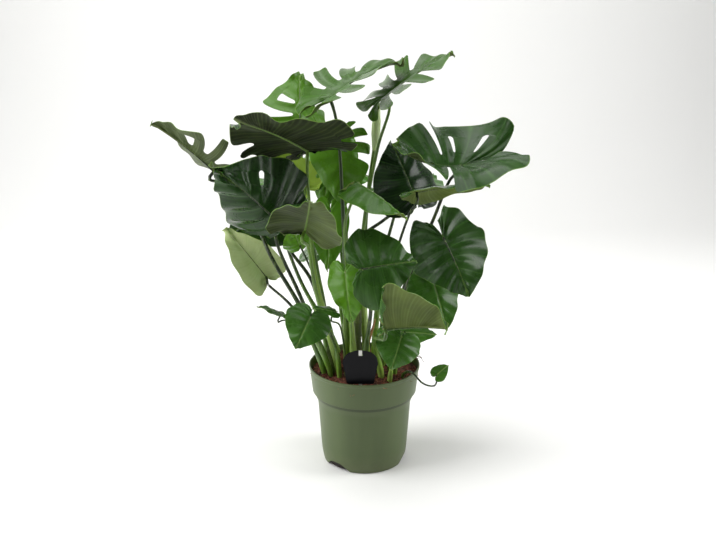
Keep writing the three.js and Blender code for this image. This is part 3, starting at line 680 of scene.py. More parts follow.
# What a leaf has unless its own line says otherwise. Lengths are in mm and angles in degrees. left and right say, from
# heel to tip, what stands at the half's four slit lines: o a hole, s a short slit in from the margin, d a deep one.
plainLeaf = {
    "cut": bladeRule["cut"], "left": "....", "right": "....",
    "heel": 1,               # how far the lobes beside the joint reach back
    "narrow": 1,             # the left half's width beside the right one's
    "gap": 1,                # width of holes and slits
    "puff": 1,               # how high the skin stands between the veins
    "fold": (8, 8),          # how far the left and the right half hang from the rib
    "curl": 20,              # how much more they bend towards the margin
    "droop": 20,             # how far the rib bends from joint to tip
    "tone": 0.4,             # from 0, dark, to 1, bright: partly the leaf's age, old to young, partly painted shade for a leaf in shadow
    "dark": (0, 0),          # what each half's tone differs by: painted shade on a half that turns from the light
    "glow": 0,               # light through the blade
    "stalk": 0.4,            # the stalk's own tone
}

# foot on the soil, bends of the stalk, joint with the blade, tip, and the way the face looks
leaves = {
    "top_back": dict(foot=(-84, 66), via=((-115, 98, 450), (-140, 110, 600), (-150, 126, 710)), joint=(-155, 130, 800),
        tip=(-160, 235, 922), face=(0.1, -0.85, 0.55), width=215, gap=1.9, cut=(0.15, 0.75), left=".ddo", right="dd.s",
        fold=(4, 42), curl=14, tone=0.25, glow=0.32),
    "top_centre": dict(foot=(-42, 6), via=((-50, 0, 615), (-62, -5, 830)), joint=(-80, -20, 905), tip=(90, 60, 975),
        face=(-0.1, 0, 1), width=220, heel=1.5, gap=1.5, cut=(0.25, 0.65), left=".ddd", right=".ddd", fold=(-16, -10),
        curl=12, droop=25, tone=0.15, glow=0.16),
    "top_right": dict(foot=(4, 14), via=((-5, 10, 560), (30, 20, 780)), joint=(45, 20, 900), tip=(205, 60, 990),
        face=(-0.3, 0, 1), width=220, heel=1.3, gap=1.4, cut=(0.25, 0.65), left="dddd", right="dddd", fold=(-14, -4),
        tone=0.17, glow=0.15, stalk=0.8),
    "left_dark": dict(foot=(-66, -8), via=((-118, -10, 490), (-130, -10, 680)), joint=(-130, -30, 785),
        tip=(-266, -240, 892), face=(0.1, 0.55, 0.85), width=285, heel=0.5, left="ds..", right="s.s.", fold=(-10, -6),
        curl=14, droop=12, tone=0.05, stalk=1),
    "back_yellow": dict(foot=(-68, 42), via=((-115, 52, 430), (-138, 74, 570)), joint=(-142, 100, 664),
        tip=(-248, 84, 780), face=(-0.3, 0.75, 0.6), width=136, heel=0.5, left=".s..", fold=(5, 5), tone=0.8, glow=0.9,
        stalk=0.9),
    "left_glossy": dict(foot=(-96, -18), via=((-145, -40, 420), (-202, -35, 560)), joint=(-190, -95, 628),
        tip=(-330, -160, 775), face=(0.15, -0.85, 0.5), width=262, heel=0.6, narrow=0.95, right="...o", fold=(56, 0),
        curl=30, droop=40, puff=2.4, tone=0.12, stalk=0.1),
    "far_left": dict(foot=(-82, -45), via=((-150, -78, 425), (-212, -72, 538), (-255, -22, 612), (-325, -5, 700)),
        joint=(-345, -20, 735), tip=(-480, -40, 850), face=(-0.3, 0.35, 0.9), width=200, heel=2.4, gap=2.2,
        cut=(0.25, 0.7), left=".ddo", fold=(-10, -24), curl=10, droop=15, tone=0.22, stalk=0.05),
    "left_behind": dict(foot=(-88, 22), via=((-125, 20, 450), (-185, 50, 535)), joint=(-205, 42, 634),
        tip=(-320, 4, 576), face=(-0.1, -0.8, 0.5), width=180, fold=(10, 10), tone=0.15, stalk=0.05),
    "left_pale": dict(foot=(-98, -40), via=((-165, -35, 400), (-228, 5, 448)), joint=(-234, -5, 474),
        tip=(-318, -66, 612), face=(-0.3, 0.8, 0.45), width=120, heel=0.5, fold=(0, 52), droop=15, tone=0.95,
        stalk=0.1),
    "small_left": dict(foot=(-104, 0), via=((-140, -20, 330), (-190, -60, 385)), joint=(-195, -70, 405),
        tip=(-250, -90, 430), face=(0, -0.1, 1), width=45, fold=(5, 5), curl=10, droop=15, stalk=0.1),
    "front_heart": dict(foot=(-60, -57), via=((-68, -76, 320), (-98, -144, 415)), joint=(-120, -185, 445),
        tip=(-155, -215, 375), face=(0, -0.9, 0.4), width=112, curl=15, tone=0.36, stalk=0.3),
    "front_edge": dict(foot=(-44, -46), via=((-58, -82, 380),), joint=(-70, -120, 430), tip=(-120, -140, 445),
        face=(0, -0.2, 1), width=50, fold=(5, 5), curl=10, droop=15, tone=0.35),
    "olive": dict(foot=(-62, -36), via=((-115, -35, 450), (-130, -86, 574)), joint=(-134, -118, 622),
        tip=(-116, -268, 732), face=(0.3, 0.6, 0.74), width=180, heel=0.6, fold=(5, 5), curl=25, droop=25, tone=0.28,
        dark=(0, -0.14), stalk=0.9),
    "centre_right": dict(foot=(-22, -38), via=((-45, -70, 620), (-35, -90, 665)), joint=(-14, -110, 730),
        tip=(90, -190, 668), face=(0.3, -0.5, 0.8), width=135, heel=0.4, fold=(55, 5), tone=0.36, glow=0.1, stalk=0.9),
    "dark_back_right": dict(foot=(-16, 36), via=((-22, 32, 540), (45, 42, 600)), joint=(120, 60, 650),
        tip=(62, 130, 775), face=(0.3, -0.8, 0.5), width=190, fold=(10, 10), tone=0, stalk=0.1),
    "right_split": dict(foot=(46, 14), via=((105, 15, 470), (160, 14, 605), (198, -6, 712)), joint=(224, -20, 749),
        tip=(65, -90, 815), face=(0.25, -0.45, 0.95), width=300, heel=3.3, narrow=0.78, gap=1.2, cut=(0.25, 0.65),
        left="..do", right="ood.", fold=(-28, -9), curl=15, droop=-55, tone=0.26, stalk=0.1),
    "right_narrow": dict(foot=(32, -12), via=((62, -5, 480), (105, -30, 640)), joint=(118, -50, 694),
        tip=(283, -70, 713), face=(0, 0.5, 0.87), width=115, fold=(5, 5), droop=15, tone=0.45, stalk=0.1),
    "right_heart": dict(foot=(62, -16), via=((95, -25, 440), (135, -35, 540)), joint=(182, -60, 586),
        tip=(238, -118, 464), face=(0.25, -0.85, 0.45), width=210, heel=2.3, fold=(4, 36), curl=25, puff=1.5,
        tone=0.26, stalk=0.1),
    "front_centre": dict(foot=(-6, -52), via=((14, -92, 420), (8, -150, 500)), joint=(-5, -190, 555),
        tip=(115, -150, 560), face=(-0.05, -0.85, 0.5), width=200, fold=(5, 15), tone=0.32, stalk=0.2),
    "front_olive": dict(foot=(40, -58), via=((26, -94, 320), (23, -160, 378)), joint=(45, -200, 416),
        tip=(186, -202, 418), face=(0, 0.8, 0.6), width=248, heel=0.1, narrow=0.5, fold=(-32, -26), curl=15, tone=0.42,
        stalk=0.6),
    "right_low": dict(foot=(72, -44), via=((90, -30, 370), (132, -22, 452)), joint=(158, -42, 484),
        tip=(193, -80, 366), face=(0.3, -0.9, 0.2), width=130, stalk=0.2),
    "front_low": dict(foot=(60, -80), via=(), joint=(84, -134, 372), tip=(60, -170, 304), face=(0.15, -0.8, 0.5),
        width=116, stalk=0.8),
    "small_right": dict(foot=(60, -60), via=(), joint=(95, -60, 355), tip=(170, -80, 355), face=(0, -0.7, 0.7),
        width=60, tone=0.5),
    "tiny": dict(foot=(92, -58), via=((112, -90, 264), (138, -100, 240), (165, -92, 230)), joint=(170, -80, 252),
        tip=(200, -70, 275), face=(-0.3, -0.8, 0.5), width=42, fold=(4, 4), curl=10, droop=15, tone=0.5, stalk=0),
    "centre_back": dict(foot=(-46, 48), via=((-45, 60, 610),), joint=(-60, 36, 800), tip=(-48, 18, 640),
        face=(0, -0.95, 0.2), width=157, gap=1.5, left="ddd.", right=".s..", droop=15, tone=0.45, glow=0.35,
        stalk=0.8),
    "centre_left": dict(foot=(-24, 66), via=((-62, 100, 560),), joint=(-71, 98, 770), tip=(-102, 78, 612),
        face=(-0.2, -0.95, 0.2), width=130, fold=(10, 10), droop=15, tone=0.45, glow=0.3, stalk=0.5),
    "hanging": dict(foot=(-28, -58), via=((-35, -88, 450),), joint=(-45, -110, 520), tip=(-30, -120, 400),
        face=(-0.4, -0.8, 0.3), width=112, droop=15, glow=0.4, stalk=0.8),
    "glimpse_left": dict(foot=(-66, 14), via=((-105, 25, 420),), joint=(-152, 10, 545), tip=(-170, -25, 600),
        face=(-0.2, -0.6, 0.7), width=80, fold=(4, 4), curl=10, droop=15, tone=0.6, glow=0.5),
    "glimpse_centre": dict(foot=(-42, 80), via=((-70, 75, 450),), joint=(-82, 44, 622), tip=(-88, 28, 476),
        face=(-0.2, -0.9, 0.2), width=96, fold=(4, 4), curl=10, droop=15, tone=0.55, glow=0.35),
    "back_left": dict(foot=(-66, 92), via=((-160, 105, 430), (-205, 125, 560)), joint=(-220, 150, 650),
        tip=(-330, 300, 640), face=(-0.3, 0.4, 0.9), width=210, left="dod.", right="dds.", fold=(10, 10), curl=25,
        droop=30),
    "back_centre": dict(foot=(-22, 102), via=((-40, 140, 500),), joint=(-75, 200, 690), tip=(-115, 370, 700),
        face=(0, 0.3, 0.95), width=230, left="dds.", right="odd.", fold=(10, 10), curl=25, droop=30, tone=0.5),
    "back_right": dict(foot=(24, 66), via=((48, 120, 480),), joint=(90, 185, 655), tip=(180, 330, 640),
        face=(0.2, 0.4, 0.9), width=210, left="ds..", right="dds.", fold=(10, 10), curl=25, droop=30, tone=0.35),
    "back_low_right": dict(foot=(52, 76), via=((75, 110, 370),), joint=(88, 140, 440), tip=(138, 280, 365),
        face=(0.3, 0.5, 0.8), width=160, fold=(10, 10), tone=0.3),
    "back_far_right": dict(foot=(72, 34), via=((140, 90, 400),), joint=(190, 120, 500), tip=(265, 250, 430),
        face=(0.5, 0.4, 0.75), width=180, fold=(10, 10), droop=25, tone=0.25),
    "back_low_left": dict(foot=(-44, 100), via=((-62, 128, 390),), joint=(-95, 160, 490), tip=(-125, 320, 450),
        face=(-0.2, 0.5, 0.8), width=150, fold=(10, 10), droop=25),
}

for number, (name, leaf) in enumerate(leaves.items()):
    buildLeaf(name, {**plainLeaf, **leaf}, number)
print("leaves:", len(leaves))


# Stems: thick, olive, ringed where old leaves have dropped, their bark a little cracked
stemRule = {
    "stems": {
        "main": ((-20, -6), (-16, -4, 400), 13),
        "left": ((-76, -24), (-88, -18, 300), 9),
        "right": ((34, -34), (40, -33, 305), 9),
    },
    "taper": 0.72,
    "bare": 42,              # mm at the foot without rings
    "ringSpacing": 34,
    "ringWidth": 2.2,
    "ringHeight": 1.3,
    "step": 1.6,
    "tipLength": 22,
    "sides": 32,
    "sharp": 60,
    "tones": ("#2a3315", "#3b4a20", "#5d6b32", "#7c8748", "#9a9a62"),
    "grainScale": (300, 300, 25),
    "stainScale": 40.0,
}


def stemMaterial():
    material, tree, shader, place = newMaterial("ringed green stem", Roughness=0.5)
    cracks = grain(tree, place, stemRule["grainScale"], 5.0)
    stains = addNode(tree, "ShaderNodeTexNoise", {"Vector": place, "Scale": stemRule["stainScale"], "Detail": 4.0})
    both = addNode(tree, "ShaderNodeMath", {0: cracks, 1: stains}, operation="ADD")
    level = addNode(tree, "ShaderNodeMath", {0: both, 1: 0.5}, operation="MULTIPLY")
    intoShader(tree, shader, toneRamp(tree, level, stemRule["tones"]), cracks, 0.6, 0.6)
    return material


stemSkin = stemMaterial()


def buildStem(name, foot, top, radius):
    rule = stemRule
    points = rootPoints(foot) + [top]
    length = pathLength(points)
    path = smoothPath(points, round(length / rule["step"]))
    share = np.linspace(0, 1, len(path))
    above = share * length - rule["bare"]
    thickness = radius * (1 - (1 - rule["taper"]) * share)
    ring = np.abs((above / rule["ringSpacing"]) % 1 - 0.5) * rule["ringSpacing"]
    thickness = thickness + rule["ringHeight"] * np.exp(-(ring / rule["ringWidth"]) ** 2) * (above > 0)
    fromTop = np.clip((1 - share) * length / rule["tipLength"], 0, 1)
    thickness = thickness * np.sqrt(np.maximum(1 - (1 - fromTop) ** 2, 0.01))
    chain = path, thickness, share
    piece = growTubes(newObject("monstera_stem_" + name), [chain], 0.5, rule["sides"], stemSkin)
    piece.data.set_sharp_from_angle(angle=math.radians(rule["sharp"]))
    finishPiece(piece, "stem", "stem_" + name)


for name, (foot, top, radius) in stemRule["stems"].items():
    buildStem(name, foot, top, radius)
print("stems:", len(stemRule["stems"]))


# The unopened leaf: a stalk, then a blade rolled round itself, its seam winding up to a hooked tip
rolledRule = {
    "foot": (10, 44),
    "via": ((0, 40, 420), (6, 50, 640), (22, 55, 770)),
    "roll": ((22, 55, 764), (25, 55, 800), (27, 55, 835), (30, 54, 862), (36, 46, 878), (44, 36, 876)),
    "radii": ((0, 4), (0.12, 7), (0.32, 11), (0.56, 11), (0.72, 8), (0.86, 4.2), (1, 0.7)),
    "stalkRadii": (6.2, 4),
    "stalkPoints": 90,
    "rings": 80,
    "sides": 30,
    "seam": 2.1,             # mm that the outer edge stands over the turn below
    "seamFull": 8,           # mm of radius from which the seam has its full height
    "seamTurns": 0.8,
    "sharp": 55,
    "tones": ("#86a955", "#abc57c", "#c8d9a4", "#dfe8c4"),
    "streakScale": (320, 320, 14),
    "streakTurn": (0, 0.25, 0),
}


# A young blade before its wax: pale, soft, streaked along the roll
def rolledMaterial():
    material, tree, shader, place = newMaterial("rolled young blade", **{
        "Roughness": 0.35, "Subsurface Weight": 0.3, "Subsurface Scale": 0.004, "Subsurface Radius": (0.7, 1.0, 0.3)})
    streaks = grain(tree, place, rolledRule["streakScale"], 3.0, rolledRule["streakTurn"])
    intoShader(tree, shader, toneRamp(tree, streaks, rolledRule["tones"]), streaks, 0.5, 0.5)
    return material


def buildRolledLeaf():
    rule = rolledRule
    rings, row = rule["rings"], rule["sides"] + 1
    path = smoothPath(rule["roll"], rings - 1)
    share = np.linspace(0, 1, rings)
    radii = np.interp(share, *zip(*rule["radii"]))
    along = np.gradient(path, axis=0)
    along /= np.linalg.norm(along, axis=1)[:, None]
    outwards = np.array((0, -1, 0.0))
    points = []
    for i, (centre, axis, radius) in enumerate(zip(path, along, radii)):
        outwards = outwards - axis * axis.dot(outwards)
        outwards /= np.linalg.norm(outwards)
        sideways = np.cross(axis, outwards)
        turn = 2 * math.pi * rule["seamTurns"] * share[i]
        overlap = rule["seam"] * min(1, radius / rule["seamFull"])
        for k in range(row):
            angle = 2 * math.pi * k / rule["sides"] + turn
            reach = radius - overlap * (1 - k / rule["sides"])
            points.append(centre + reach * (math.cos(angle) * outwards + math.sin(angle) * sideways))
    faces = []
    for a in range(rings * row - row):
        b = a + 1 if (a + 1) % row else a + 1 - row
        faces.append((a, b, b + row, a + row))
    faces.append(tuple(range(row))[::-1])
    faces.append(tuple(range((rings - 1) * row, rings * row)))
    blade = newObject("rolled_blade", newMesh("rolled_blade", np.array(points) * mm, faces))
    dress(blade, rolledMaterial())
    shade(blade, rule["sharp"])
    finishPiece(blade, "new_leaf", "leaf_new_rolled")
    stalk = smoothPath(rootPoints(rule["foot"]) + list(rule["via"]), rule["stalkPoints"])
    share = np.linspace(0, 1, len(stalk))
    low, high = rule["stalkRadii"]
    chain = stalk, low + (high - low) * share, share
    piece = growTubes(newObject("rolled_stalk"), [chain], 0.8, stalkRule["sides"], stalkSkin)
    finishPiece(piece, "new_leaf", "leaf_new_rolled")


buildRolledLeaf()
print("rolled leaf")


# Nursery pot: its wall and band as one turned outline, less the drain notches round its foot
potRule = {
    # radius, height, rounding of the corner
    "profile": ((0, 0, 0), (100, 0, 4), (105, 26, 12), (114, 158, 8), (122.6, 178, 3),
                (124, 182.6, 0.8), (127, 183.4, 1.2),
                (133.3, 241, 3), (135, 243.5, 1.2), (135, 250, 1.1), (131.5, 250, 1.1), (124.6, 187, 5),
                (111.6, 160, 8), (102.6, 27, 10), (97.6, 4.4, 3), (0, 2.4, 0)),
    "sides": 144,
    "sharp": 35,
    "notches": 3,
    "notchTurn": 108,        # degrees from +X to the first notch
    "notchTop": 15,
    "notchFoot": 36,
    "notchHeight": 19,
    "notchRound": 5,
    "notchFlare": (3, 8, 10),     # mm the cutter widens at the foot, and under it, and how far down it goes
    "notchReach": (70, 130),      # mm from the axis
    "archRound": 9,
    "colour": "#485534",
    "light": "#586741",      # where the plastic flowed
    "flowScale": (18, 18, 3),     # all scales here are repeats to a metre
    "skinScale": 700.0,
    "dust": "#7d7a60",
    "dustScale": 90.0,
    "dustHeight": 0.05,      # metres
    "dustAmount": 0.35,
    # Painted shade: a dark line just under the rim band, where the band overhangs the wall
    "bandShade": "#1d2117",
    "bandShadeHeight": 178.5,    # mm up, under the rim band
    "bandShadeReach": 4.5,
    "bandShadeAmount": 0.55,
    "roughness": 0.42,
    "gloss": 0.35,
}


# Each corner of a line of (x, y, rounding) becomes a short arc
def roundCorners(corners, steps=5):
    line = []
    for i, (x, y, rounding) in enumerate(corners):
        corner = np.array((x, y), float)
        if not rounding:
            line.append(corner)
            continue
        before, after = (np.array(corners[(i + k) % len(corners)][:2], float) for k in (-1, 1))
        a, b = (corner + (end - corner) * min(0.49, rounding / np.linalg.norm(end - corner)) for end in (before, after))
        line += [a * (1 - t) ** 2 + corner * 2 * t * (1 - t) + b * t * t for t in np.linspace(0, 1, steps)]
    return np.array(line)


def latheMesh(name, line, sides):
    build = bmesh.new()
    rings = []
    for radius, height in line:
        angles = [0] if radius < 1e-6 else np.arange(sides) * 2 * math.pi / sides
        rings.append([build.verts.new((radius * math.cos(a) * mm, radius * math.sin(a) * mm, height * mm))
                      for a in angles])
    for low, high in zip(rings, rings[1:]):
        for k in range(sides):
            quad = [low[k % len(low)], low[(k + 1) % len(low)], high[(k + 1) % len(high)], high[k % len(high)]]
            build.faces.new(list(dict.fromkeys(quad)))
    bmesh.ops.recalc_face_normals(build, faces=build.faces)
    return meshFrom(build, name)


# A closed prism from a flat outline
def prism(build, outline, low, high, place):
    bottom, top = ([build.verts.new(place(x, y, depth)) for x, y in outline] for depth in (low, high))
    build.faces.new(bottom[::-1])
    build.faces.new(top)
    for k in range(len(outline)):
        j = (k + 1) % len(outline)
        build.faces.new((bottom[k], bottom[j], top[j], top[k]))


# Thin moulded polypropylene: satin, evenly green, faint flow marks, painted shade in a dark line under the band, and
# dust near the foot
def potMaterial():
    rule = potRule
    material, tree, shader, place = newMaterial("moulded polypropylene", **{
        "Roughness": rule["roughness"], "Specular IOR Level": rule["gloss"]})
    flow = grain(tree, place, rule["flowScale"], 6.0)
    height = addNode(tree, "ShaderNodeSeparateXYZ", {"Vector": place}).outputs["Z"]
    low = addNode(tree, "ShaderNodeMapRange", {
        "Value": height, "From Max": rule["dustHeight"], "To Min": rule["dustAmount"], "To Max": 0.0})
    specks = addNode(tree, "ShaderNodeTexNoise", {"Vector": place, "Scale": rule["dustScale"], "Detail": 6.0})
    dust = addNode(tree, "ShaderNodeMath", {0: low, 1: specks}, operation="MULTIPLY")
    # The dark line under the band is painted shade
    edge = addNode(tree, "ShaderNodeMath", {
        0: height, 1: rule["bandShadeHeight"] * mm, 2: rule["bandShadeReach"] * mm}, operation="COMPARE")
    bandShade = addNode(tree, "ShaderNodeMath", {0: edge, 1: rule["bandShadeAmount"]}, operation="MULTIPLY")
    colour = coats(tree, linear(rule["colour"]), (rule["light"], flow), (rule["dust"], dust), (rule["bandShade"], bandShade))
    skin = addNode(tree, "ShaderNodeTexNoise", {"Vector": place, "Scale": rule["skinScale"], "Detail": 2.0})
    intoShader(tree, shader, colour, skin, 0.08, 0.3)
    return material


def buildPot():
    rule = potRule
    pot = newObject("nursery_pot", latheMesh("nursery_pot", roundCorners(rule["profile"]), rule["sides"]))
    top, foot, height, corner = rule["notchTop"], rule["notchFoot"], rule["notchHeight"], rule["notchRound"]
    flare, skirt, down = rule["notchFlare"]
    half = ((foot + skirt, -down, 0), (foot + flare, 0, corner), (top, height, rule["archRound"]))
    arch = roundCorners(((-foot - skirt, -down, 0), *half, *((-x, y, r) for x, y, r in half[:0:-1])))
    build = bmesh.new()
    for i in range(rule["notches"]):
        turn = Matrix.Rotation(math.radians(rule["notchTurn"] + i * 360 / rule["notches"]), 3, "Z")
        prism(build, arch, *rule["notchReach"], lambda x, y, depth: turn @ Vector((depth * mm, x * mm, y * mm)))
    bmesh.ops.recalc_face_normals(build, faces=build.faces)
    cutter = newObject("notches", meshFrom(build, "notches"))
    cut = pot.modifiers.new("notches", "BOOLEAN")
    cut.object = cutter
    cut.solver = "EXACT"
    pot = flatten(pot)
    bpy.data.objects.remove(cutter)
    dress(pot, potMaterial())
    shade(pot, rule["sharp"])
    finishPiece(pot, "pot", "pot")


buildPot()
print("pot")


# Bark and coir: damp red-brown lumps, chips and threads over the soil body
soilRule = {
    "radius": 127,
    "waveHeight": 1.8,
    "rise": 1,
    "rings": 26,
    "sides": 72,
    "ringCrowding": 0.7,
    "waves": 7,
    "waveRates": (0.02, 0.09),    # radians to a mm
    "edgeDrop": 6,
    "edgeStart": 105,
    "chips": 1500,
    "chipSize": 8,
    "chipKinds": 5,
    "chipWidth": (0.35, 0.75),    # shares of its length
    "chipHeight": (0.18, 0.4),
    "chipRough": (0.75, 1.2),
    "threads": 520,
    "threadKinds": 4,
    "threadLength": 26,
    "threadBends": 5,
    "threadBend": 2.4,
    "threadFlat": 0.35,           # share of a bend's height that is left, since threads lie flat
    "threadSteps": 10,
    "threadRadius": 0.45,
    "lumpScale": 110.0,           # to a metre, lumps of 9 mm and fibres of 2 mm
    "fibreScale": 420.0,
    "barkTones": ("#200e08", "#482216", "#733d2a", "#9b6450"),
    "coirTones": ("#4a2a1a", "#7a4a2e", "#a3714c", "#c19a74"),
    "notchShade": "#080605",             # painted shade: the soil that shows in the notches, drawn near black for the shadow inside the pot
    "notchShadeRange": (0.05, 0.2),      # metres up
    "notchShadeAmount": 0.95,
}


# Fibres and lumps, dull and rough all through, with painted shade low down where the soil shows in the notches
def barkMaterial(name, tones):
    material, tree, shader, place = newMaterial(name, Roughness=0.85)
    lumps = addNode(tree, "ShaderNodeTexNoise", {
        "Vector": place, "Scale": soilRule["lumpScale"], "Detail": 6.0, "Roughness": 0.65})
    fibre = addNode(tree, "ShaderNodeTexNoise", {"Vector": place, "Scale": soilRule["fibreScale"], "Detail": 3.0})
    spread = addNode(tree, "ShaderNodeMapRange", {"Value": lumps, "From Min": 0.3, "From Max": 0.7})
    # Near black low down: painted shade where the soil shows through the notches
    low, high = soilRule["notchShadeRange"]
    height = addNode(tree, "ShaderNodeSeparateXYZ", {"Vector": place}).outputs["Z"]
    notchShade = addNode(tree, "ShaderNodeMapRange", {
        "Value": height, "From Min": low, "From Max": high, "To Min": soilRule["notchShadeAmount"], "To Max": 0.0})
    both = addNode(tree, "ShaderNodeMath", {0: lumps, 1: fibre}, operation="ADD")
    intoShader(tree, shader, coats(tree, toneRamp(tree, spread, tones), (soilRule["notchShade"], notchShade)), both, 0.9, 1.5)
    return material


bark = barkMaterial("damp pine bark", soilRule["barkTones"])
coir = barkMaterial("coir thread", soilRule["coirTones"])


# The uneven top of the soil as a sheet that the chips are scattered on
def soilSheet():
    rule, sides = soilRule, soilRule["sides"]
    radii = np.linspace(0, 1, rule["rings"]) ** rule["ringCrowding"] * rule["radius"]
    draw = np.random.default_rng(5)
    waves = [(draw.uniform(*rule["waveRates"]), draw.uniform(0, 2 * math.pi), draw.uniform(0, 2 * math.pi))
             for i in range(rule["waves"])]
    points = [(0, 0, soilHeight)]
    for radius in radii[1:]:
        edge = -rule["edgeDrop"] * float(smoothStep(rule["edgeStart"], rule["radius"], radius))
        for k in range(sides):
            angle = 2 * math.pi * k / sides
            x, y = radius * math.cos(angle), radius * math.sin(angle)
            bump = sum(math.sin(rate * (x * math.cos(way) + y * math.sin(way)) + start) for rate, way, start in waves)
            points.append((x, y, soilHeight + rule["rise"] + rule["waveHeight"] * bump + edge))
    faces = [(0, 1 + k, 1 + (k + 1) % sides) for k in range(sides)]
    for first in range(1, 1 + (len(radii) - 2) * sides, sides):
        for k in range(sides):
            a, b = first + k, first + (k + 1) % sides
            faces.append((a, a + sides, b + sides, b))
    return newMesh("soil_sheet", np.array(points) * mm, faces)


# A few chips and threads, each a few dozen faces, that the scatter tree picks from
def barkChips(draw):
    rule, chips = soilRule, []
    for i in range(rule["chipKinds"]):
        build = bmesh.new()
        bmesh.ops.create_icosphere(build, subdivisions=1, radius=1)
        stretch = np.array((1, draw.uniform(*rule["chipWidth"]), draw.uniform(*rule["chipHeight"])))
        for vertex in build.verts:
            rough = draw.uniform(*rule["chipRough"], 3)
            vertex.co = Vector(np.array(vertex.co) * stretch * rough * rule["chipSize"] * mm)
        chips.append(newObject("chip", meshFrom(build, "chip")))
    return chips


def coirThreads(draw):
    rule, threads = soilRule, []
    for i in range(rule["threadKinds"]):
        bends = np.cumsum(draw.normal(0, rule["threadBend"], (rule["threadBends"], 3)), axis=0)
        bends *= (1, 1, rule["threadFlat"])
        bends[:, 0] += np.linspace(-0.5, 0.5, len(bends)) * rule["threadLength"]
        path = smoothPath(bends, rule["threadSteps"])
        chain = path, np.full(len(path), rule["threadRadius"]), np.zeros(len(path))
        threads.append(growTubes(newObject("thread"), [chain], 0, 5, coir))
    return threads


# Geometry Nodes: pieces of a collection strewn over a surface, each turned and sized at random
def buildScatterTree():
    tree, given = newTree("strew", Pieces="Collection", Density="Float", Smallest="Float", Largest="Float",
                          Tilt="Float", Seed="Int", Skin="Material")
    strewn = addNode(tree, "GeometryNodeDistributePointsOnFaces", {
        "Mesh": given["Geometry"], "Density": given["Density"], "Seed": given["Seed"]})
    pieces = addNode(tree, "GeometryNodeCollectionInfo", {
        "Collection": given["Pieces"], "Separate Children": True, "Reset Children": True})
    size = addNode(tree, "FunctionNodeRandomValue", {
        "Min": given["Smallest"], "Max": given["Largest"], "Seed": given["Seed"]}, data_type="FLOAT")
    back = addNode(tree, "ShaderNodeMath", {0: given["Tilt"], 1: -1.0}, operation="MULTIPLY")
    low = addNode(tree, "ShaderNodeCombineXYZ", {"X": back, "Y": back, "Z": -math.pi})
    high = addNode(tree, "ShaderNodeCombineXYZ", {"X": given["Tilt"], "Y": given["Tilt"], "Z": math.pi})
    turn = addNode(tree, "FunctionNodeRandomValue", {0: low, 1: high, "Seed": given["Seed"]}, data_type="FLOAT_VECTOR")
    placed = addNode(tree, "GeometryNodeInstanceOnPoints", {
        "Points": strewn, "Instance": pieces, "Pick Instance": True, "Rotation": turn, "Scale": size.outputs[1]})
    real = addNode(tree, "GeometryNodeRealizeInstances", {"Geometry": placed})
    skinned = addNode(tree, "GeometryNodeSetMaterial", {"Geometry": real, "Material": given["Skin"]})
    addNode(tree, "NodeGroupOutput", {0: skinned})
    return tree


scatterTree = buildScatterTree()


def strew(name, kinds, count, **inputs):
    group = bpy.data.collections.new(name + "_kinds")
    for kind in kinds:
        bpy.context.scene.collection.objects.unlink(kind)
        group.objects.link(kind)
    piece = newObject(name, soilSheet())
    density = count / (math.pi * (soilRule["radius"] * mm) ** 2)
    useTree(piece, scatterTree, Pieces=group, Density=density, **inputs)
    piece = flatten(piece)
    for kind in kinds:
        bpy.data.objects.remove(kind)
    bpy.data.collections.remove(group)
    finishPiece(piece, "soil")


def buildSoil():
    draw = np.random.default_rng(8)
    sheet = newObject("bark_bed", soilSheet())
    dress(sheet, bark)
    shade(sheet)
    finishPiece(sheet, "soil")
    strew("bark_chips", barkChips(draw), soilRule["chips"], Seed=3, Skin=bark, Smallest=0.35, Largest=1.0, Tilt=0.7)
    strew("coir_threads", coirThreads(draw), soilRule["threads"],
          Seed=4, Skin=coir, Smallest=0.5, Largest=1.1, Tilt=0.25)
    dress(bpy.data.objects["soil"], bark)


buildSoil()


# What lies loose: roots that reach over the rim, and one dried sheath
looseRule = {
    "roots": (((96, 30, 240), (114, 36, 254), (130, 40, 256), (144, 38, 246)),
              ((100, 44, 240), (116, 46, 257), (128, 48, 261), (139, 50, 254)),
              ((94, 20, 240), (112, 24, 251), (136, 28, 254), (148, 26, 240)),
              ((92, 4, 240), (108, 8, 250), (122, 8, 256), (134, 2, 262))),
    "rootRadius": 1.7,
    "rootTaper": 0.7,
    "rootPoints": 24,
    "sheath": ((-2, -60, 236), (3, -62, 300), (11, -66, 337), (20, -74, 370), (26, -84, 399)),
    "sheathPoints": 40,
    "sheathWidth": 10,
    "sheathTwist": 0.5,
    "sheathThickness": 0.6,
    "sharp": 55,
    "sheathTones": ("#5a3a1c", "#95693a", "#b8915a"),
    "fibreScale": (500, 500, 30),
}


# A dead sheath: brown and papery, its fibres running along it
def sheathMaterial():
    material, tree, shader, place = newMaterial("dried papery sheath", **{"Roughness": 0.6, "Subsurface Weight": 0.1})
    fibre = grain(tree, place, looseRule["fibreScale"], 4.0)
    intoShader(tree, shader, toneRamp(tree, fibre, looseRule["sheathTones"]), fibre, 0.6, 0.4)
    return material


